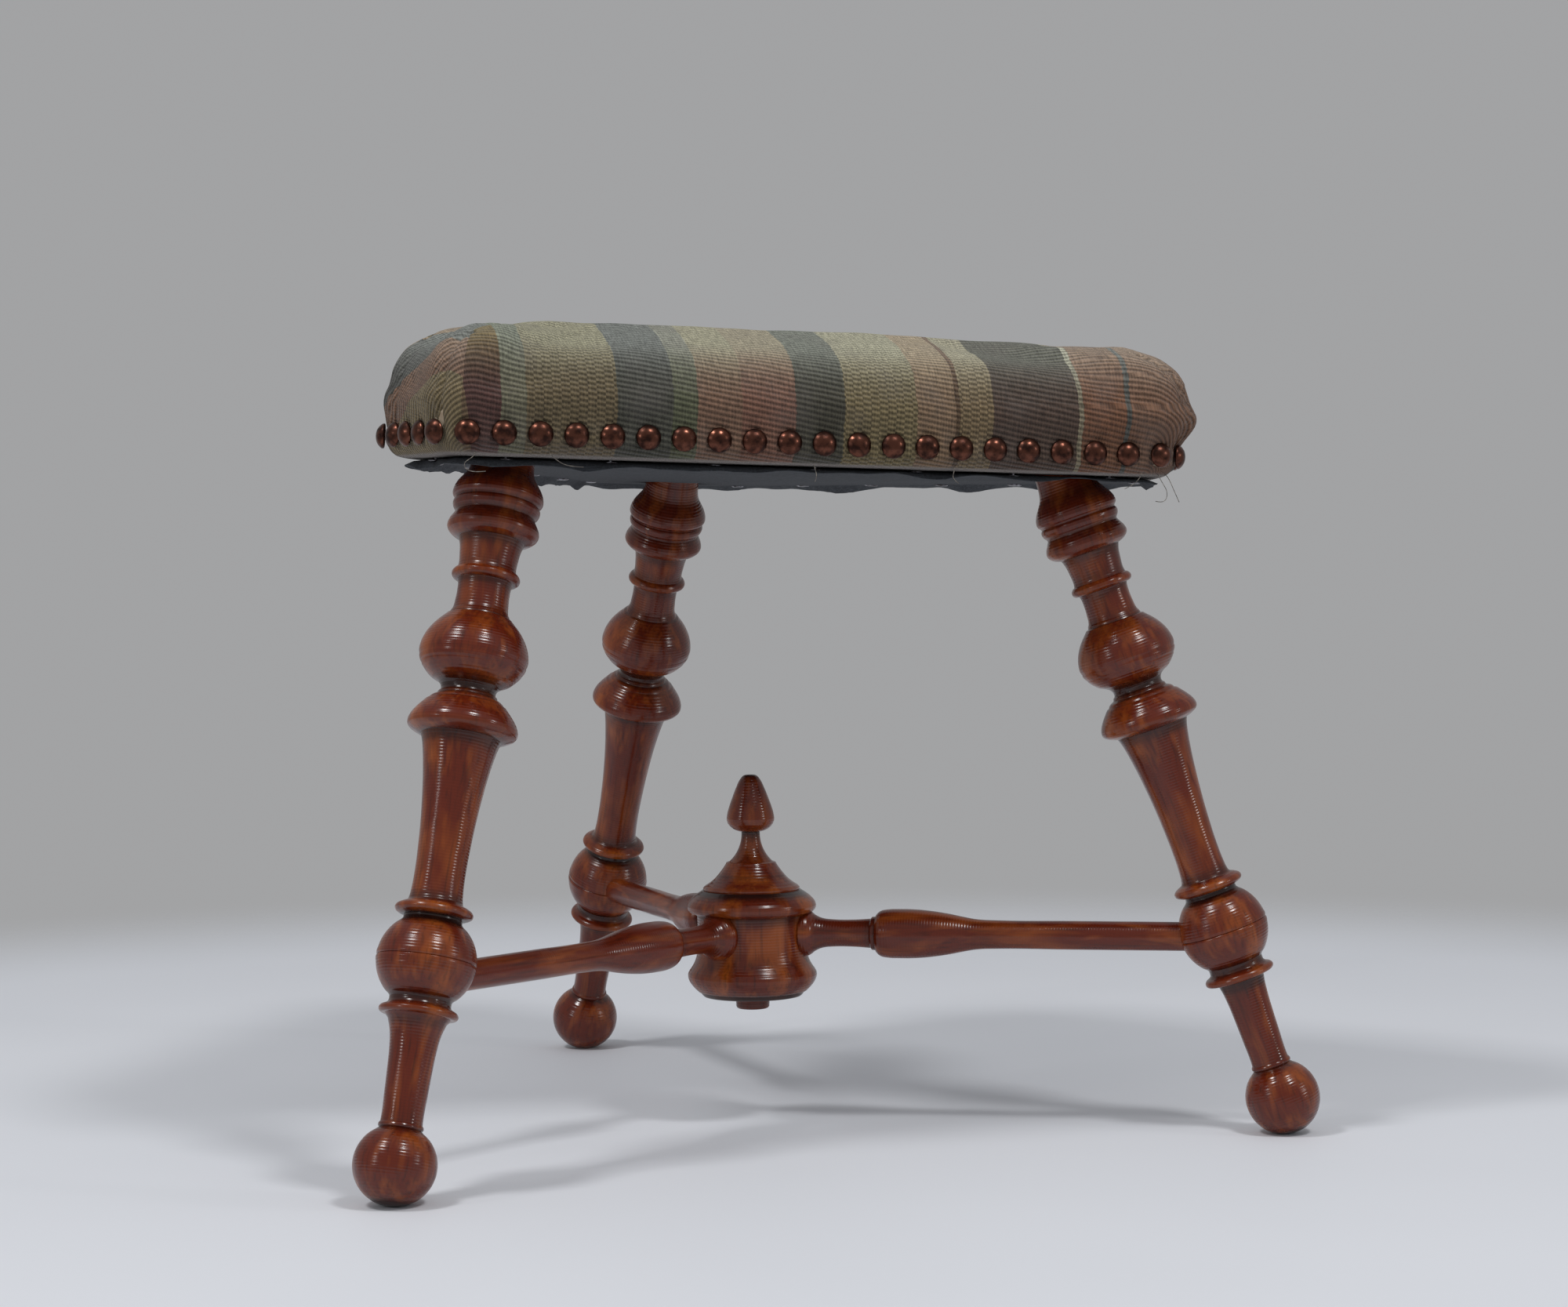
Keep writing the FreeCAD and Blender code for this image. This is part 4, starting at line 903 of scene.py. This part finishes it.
# Each stripe's top colour is blended into its darker lower colour by how far the cloth runs down
# the sides.
banded = blended(weave, given["Low"], ramps[0].outputs[0], ramps[1].outputs[0])
column = maths(weave, "FLOOR", sums(along_u, 1 / BASKET_CELL, 100.0))
column = maths(weave, "MULTIPLY", column, ramps[0].outputs[1])
column = maths(weave, "MULTIPLY", column, math.pi)
slope = sums(along_u, 2 * math.pi * RIB_SLOPE / RIB_PITCH, sums(drawn, 3.0, column))
ribs = maths(weave, "SINE", sums(along_v, 2 * math.pi / RIB_PITCH, slope))
warp = maths(weave, "SINE", sums(thread_u, 2 * math.pi / WARP_PITCH, 0.0))
height = sums(pulled, 0.8, sums(warp, 0.28, ribs))
slubs = noisy(weave, stretched(weave, given["Vector"], (1, 0.16, 1)), 900.0, 2.0)
# Painted shade: the colour is darkened in the valleys between the ribs.
painted_valley_shade = ranged(weave, height, -0.9, 0.9, 0.42, 1.10)
slub_tone = ranged(weave, slubs, 0.3, 0.7, 0.72, 1.22)
# Painted shade: the cloth is brightened on the top and darkened down the sides.
depth = ranged(weave, given["Low"], 0.0, 1.0, 1.20, 0.80)
level = maths(weave, "MULTIPLY", maths(weave, "MULTIPLY", painted_valley_shade, slub_tone), depth)
toned = add_node(weave, "VectorMath", {0: banded, "Scale": level}, operation="SCALE").outputs[0]
soil_share = ranged(weave, noisy(weave, given["Vector"], 42.0, 4.0), 0.5, 0.75, 0.0, 0.28)
worn_cloth = blended(weave, soil_share, toned, (0.17, 0.15, 0.14, 1))
turned_under = blended(weave, given["Under"], worn_cloth, (0.27, 0.24, 0.22, 1))
napped = ranged(weave, slubs, 0.0, 1.0, 0.80, 0.98)
woven = bumped(weave, height, 0.7, 0.0006)
give(weave, result, Color=turned_under, Roughness=napped, Normal=woven)

striped_cloth, tree, shader = new_material("striped_cloth")
shader.inputs["Sheen Weight"].default_value = 0.12
shader.inputs["Specular IOR Level"].default_value = 0.25
banding = add_node(tree, "Group", node_tree=weave)
give(tree, banding, Vector=add_node(tree, "UVMap", uv_map="laid_flat").outputs[0])
for attribute, socket in (("low", "Low"), ("under", "Under"), ("slanted", "Slanted")):
    mark = add_node(tree, "Attribute", attribute_name=attribute)
    tree.links.new(mark.outputs["Fac"], banding.inputs[socket])
colour, roughness, normal = banding.outputs
give(tree, shader, BaseColor=colour, Roughness=roughness, Normal=normal)


def dress_pad(piece, material, node):
    piece.data.materials.clear()
    piece.data.materials.append(material)
    for face in piece.data.polygons:
        face.use_smooth = True
        face.material_index = 0
    put(piece, SEAT_PLACE)
    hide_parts(node)
    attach(piece, "root")


dress_pad(cover, striped_cloth, "seat_cover")


def fibres(name, dark, pale, scale, stretch):
    """A matt cloth or loose fibre whose strands run in two directions."""
    material, tree, shader = new_material(name)
    position = add_node(tree, "TexCoord").outputs["Object"]
    strands = []
    for turn in (stretch, (stretch[1], stretch[0], stretch[2])):
        strands.append(noisy(tree, stretched(tree, position, turn), scale, 3.0))
    crossed = maths(tree, "MAXIMUM", *strands)
    colour = blended(tree, ranged(tree, crossed, 0.42, 0.72), (*dark, 1), (*pale, 1))
    rough = ranged(tree, crossed, 0.0, 1.0, 0.95, 0.75)
    give(tree, shader, BaseColor=colour, Roughness=rough, Normal=bumped(tree, crossed, 0.5, 0.0004))
    return material


# Calico
# A thin unbleached lining that follows the cover from inside and is held by the same nails.
finish_modifier(lining, "SOLIDIFY", thickness=LINING_THICKNESS * MM, offset=-1.0)
calico = fibres("unbleached_calico", (0.52, 0.47, 0.37), (0.76, 0.71, 0.60), 1400.0, (1, 0.1, 1))
dress_pad(lining, calico, "calico_lining")

# Hair pad
# Teased hair and fibre, crowned over the board and pressed flat where it lies on it.
STUFFING_FOOT = 20.2
pick([pad])
bpy.ops.object.mode_set(mode="EDIT")
bpy.ops.mesh.select_all(action="SELECT")
bpy.ops.mesh.bisect(
    plane_co=(0, 0, STUFFING_FOOT * MM), plane_no=(0, 0, 1), clear_inner=True, use_fill=True
)
bpy.ops.object.mode_set(mode="OBJECT")
normals = [vertex.normal.copy() for vertex in pad.data.vertices]
for vertex, normal in zip(pad.data.vertices, normals):
    if vertex.co.z > (STUFFING_FOOT + 1.0) * MM:
        tuft = noise.noise(vertex.co * 150.0) - 0.5
        vertex.co += normal * 0.6 * tuft * MM
hair = fibres("teased_hair", (0.10, 0.07, 0.05), (0.42, 0.33, 0.24), 500.0, (1, 0.15, 0.6))
dress_pad(pad, hair, "stuffing")

# Dust cover
# A sheet of thin blue-black cambric tacked under the board over the hem. It has a hole round each
# leg, and its raw edge hangs a little outside the tacks.
TACK_LINE = 13.0
SHEET_EDGE = 6.5
HANG = 16.0
LEG_HOLE = 14.2
bpy.ops.object.select_all(action="DESELECT")
bpy.ops.mesh.primitive_grid_add(x_subdivisions=110, y_subdivisions=96, size=1)
dust = bpy.context.object
dust.name = "cambric_dust_cover"
sheet = bmesh.new()
sheet.from_mesh(dust.data)
for vertex in sheet.verts:
    vertex.co = Vector((vertex.co.x * 364.0 + 4.0, vertex.co.y * 316.0 + 37.0, 0.0)) * MM
holes = []
for leg in FEET:
    start_point = to_seat @ shoulders[leg]
    course = to_seat.to_3x3() @ leg_axes[leg]
    holes.append((start_point - course * (start_point.z + 1.6 * MM) / course.z) / MM)
outside = []
for face in sheet.faces:
    x, y, z = face.calc_center_median() / MM
    in_hole = any(math.hypot(x - hole.x, y - hole.y) < LEG_HOLE for hole in holes)
    if in_hole or edge_place(x, y)[0] < SHEET_EDGE:
        outside.append(face)
bmesh.ops.delete(sheet, geom=outside, context="FACES")
for vertex in sheet.verts:
    if vertex.is_boundary:
        x, y, z = vertex.co / MM
        inset, core_point, outward, side = edge_place(x, y)
        hole = min(holes, key=lambda spot: math.hypot(x - spot.x, y - spot.y))
        from_hole = Vector((x - hole.x, y - hole.y))
        if from_hole.length < 20.0:
            place = hole.xy + from_hole.normalized() * LEG_HOLE
        else:
            torn = 1.4 * noise.noise(Vector((x * 0.07, y * 0.07, 5.0)))
            torn += 0.5 * noise.noise(Vector((x * 0.4, y * 0.4, 2.0)))
            place = core_point + outward * (CORE_INSET - SHEET_EDGE - torn)
        vertex.co = Vector((place.x, place.y, 0.0)) * MM
sheet_area = sum(face.calc_area() for face in sheet.faces)
for vertex in sheet.verts:
    x, y, z = vertex.co / MM
    inset, core_point, outward, side = edge_place(x, y)
    height = -1.9 - 1.2 * eased(inset, 20.0, 90.0)
    ruffle = noise.noise(Vector((x * 0.045, y * 0.045, 7.0)))
    spare = max(0.0, TACK_LINE - inset)
    slack = eased(-x, -60.0, 170.0)
    droop = math.radians(HANG + 16.0 * slack + 22.0 * ruffle) * eased(spare, 0.0, 4.0)
    if spare > 0:
        edge_point = Vector((x, y)) - outward * spare
        x, y = edge_point + outward * spare * math.cos(droop)
        height -= spare * math.sin(droop) * (1.0 + 0.15 * ruffle)
    near_hole = min(math.hypot(x - hole.x, y - hole.y) for hole in holes)
    height = height if near_hole > 40.0 else -1.9 + (height + 1.9) * eased(near_hole, 14.0, 40.0)
    vertex.co = Vector((x, y, height)) * MM
sheet.normal_update()
sheet.to_mesh(dust.data)
sheet.free()
finish_modifier(dust, "SOLIDIFY", thickness=0.0003, offset=0.0)
cambric = fibres(
    "black_cambric", (0.018, 0.021, 0.026), (0.050, 0.057, 0.068), 1500.0, (1, 0.1, 1)
)
dust.data.materials.append(cambric)
for face in dust.data.polygons:
    face.use_smooth = True
put(dust, SEAT_PLACE)
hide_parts("dust_cover")
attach(dust, "root")

# Nails
# Close nails with domed heads of coppery bronze, patinated in blotches of darker and brighter
# tone. They are driven through the hem of the cover, no two quite in line.


def metal(name, bright, dark, scale):
    """Old patinated metal, brighter where it is rubbed."""
    material, tree, shader = new_material(name)
    shader.inputs["Metallic"].default_value = 1.0
    blots = noisy(tree, add_node(tree, "TexCoord").outputs["Object"], scale, 4.0)
    colour = blended(tree, ranged(tree, blots, 0.38, 0.64), (*bright, 1), (*dark, 1))
    rough = ranged(tree, blots, 0.3, 0.7, 0.20, 0.46)
    give(tree, shader, BaseColor=colour, Roughness=rough, Normal=bumped(tree, blots, 0.3, 0.0002))
    return material


def driven(name, model, places, material, node, tilt, seed):
    """Copies of a fastener at its places, each a little out of true, joined into one piece."""
    chance = random.Random(seed)
    copies = []
    for seat, outward in places:
        lean = Vector([chance.uniform(-tilt, tilt) for axis in range(3)])
        upright = Vector((0, 0, 1)).rotation_difference((outward + lean).normalized())
        spin = Matrix.Rotation(chance.uniform(0, math.pi), 4, "Z")
        copy = bpy.data.objects.new(name, model.data.copy())
        scene.collection.objects.link(copy)
        depth = outward * chance.uniform(-0.25, 0.25) * MM
        copy.data.transform(Matrix.Translation(seat + depth) @ upright.to_matrix().to_4x4() @ spin)
        copies.append(copy)
    piece = copies[0]
    pick(copies)
    bpy.ops.object.join()
    piece.name = name
    piece.data.materials.append(material)
    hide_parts(node)
    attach(piece, "root")


nail_model = turned("nail_model", [
    (0.0, -12.9, "corner"), (0.8, -11.0, "corner"), (0.95, -0.3, "corner"),
    (4.6, -0.3, "corner"), (5.4, 0.0), (5.5, 0.7), (4.7, 1.9),
    (3.3, 3.0), (1.7, 3.6), (0.0, 3.8, "corner"),
], 16)
bronze = metal("patinated_bronze", (0.130, 0.050, 0.033), (0.032, 0.015, 0.012), 300.0)
for seed, side in enumerate(NAIL_SIDES):
    driven(
        "close_nails_" + side, nail_model, nail_places[side], bronze,
        "nails_" + side, 0.06, 20 + seed,
    )
bpy.data.objects.remove(nail_model)

# Tacks
# Flat blued tacks along the edge of the dust cover.
TACK_SHANK = 11.0
tack_model = turned("tack_model", [
    (0.0, -11.0, "corner"), (0.6, -9.6, "corner"), (0.8, 0.0, "corner"), (3.2, 0.0, "corner"),
    (3.5, 0.3), (3.0, 0.8), (1.6, 1.0), (0.0, 1.0, "corner"),
], 14)
blued = metal("blued_steel", (0.30, 0.30, 0.33), (0.06, 0.05, 0.05), 500.0)
driven(
    "dust_tacks", tack_model, fastener_places("dust_cover_tacks", TACK_SHANK), blued,
    "dust_cover_tacks", 0.05, 40,
)
bpy.data.objects.remove(tack_model)

# Frayed threads
# Loose threads that have worked out of the raw hem below the nails, most of them at the right.
FRAYS = [
    ((158.0, -117.0), [(1, -2, -3), (4, -3, -8), (2, -4, -13), (-2, -3, -12)]),
    ((163.0, -114.0), [(1, -2, -2), (3, -3, -7), (6, -2, -12)]),
    ((150.0, -118.5), [(-2, -2, -2), (-5, -3, -5), (-9, -2, -7)]),
    ((-150.0, -118.5), [(-1, -2, -2), (-6, -3, -5), (-3, -4, -9), (4, -3, -8)]),
    ((-118.0, -119.0), [(2, -1, -2), (7, -2, -5), (14, -2, -5)]),
    ((-2.0, -119.0), [(0, -1, -2), (1, -2, -6), (0, -2, -8)]),
    ((62.0, -119.0), [(-1, -2, -2), (-2, -3, -5), (1, -3, -7)]),
]
threads = []
for (x, y), course in FRAYS:
    line = bpy.data.curves.new("frayed_threads", "CURVE")
    line.dimensions = "3D"
    line.bevel_depth = 0.16 * MM
    line.bevel_resolution = 1
    line.resolution_u = 5
    spline = line.splines.new("NURBS")
    route = [(0.0, 1.5, 0.4), (0.0, 0.0, 0.2)] + course
    spline.points.add(len(route) - 1)
    for point, (right, back, up) in zip(spline.points, route):
        point.co = (*(Vector((x + right, y + back, up)) * MM), 1.0)
    spline.order_u = 3
    spline.use_endpoint_u = True
    thread = bpy.data.objects.new("frayed_threads", line)
    scene.collection.objects.link(thread)
    threads.append(thread)
pick(threads)
bpy.ops.object.convert(target="MESH")
bpy.ops.object.join()
fray = bpy.context.object
fray.name = "frayed_threads"
thread_grey = fibres("frayed_thread", (0.10, 0.09, 0.08), (0.34, 0.30, 0.25), 900.0, (1, 1, 1))
fray.data.materials.clear()
fray.data.materials.append(thread_grey)
put(fray, SEAT_PLACE)
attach(fray, "root")
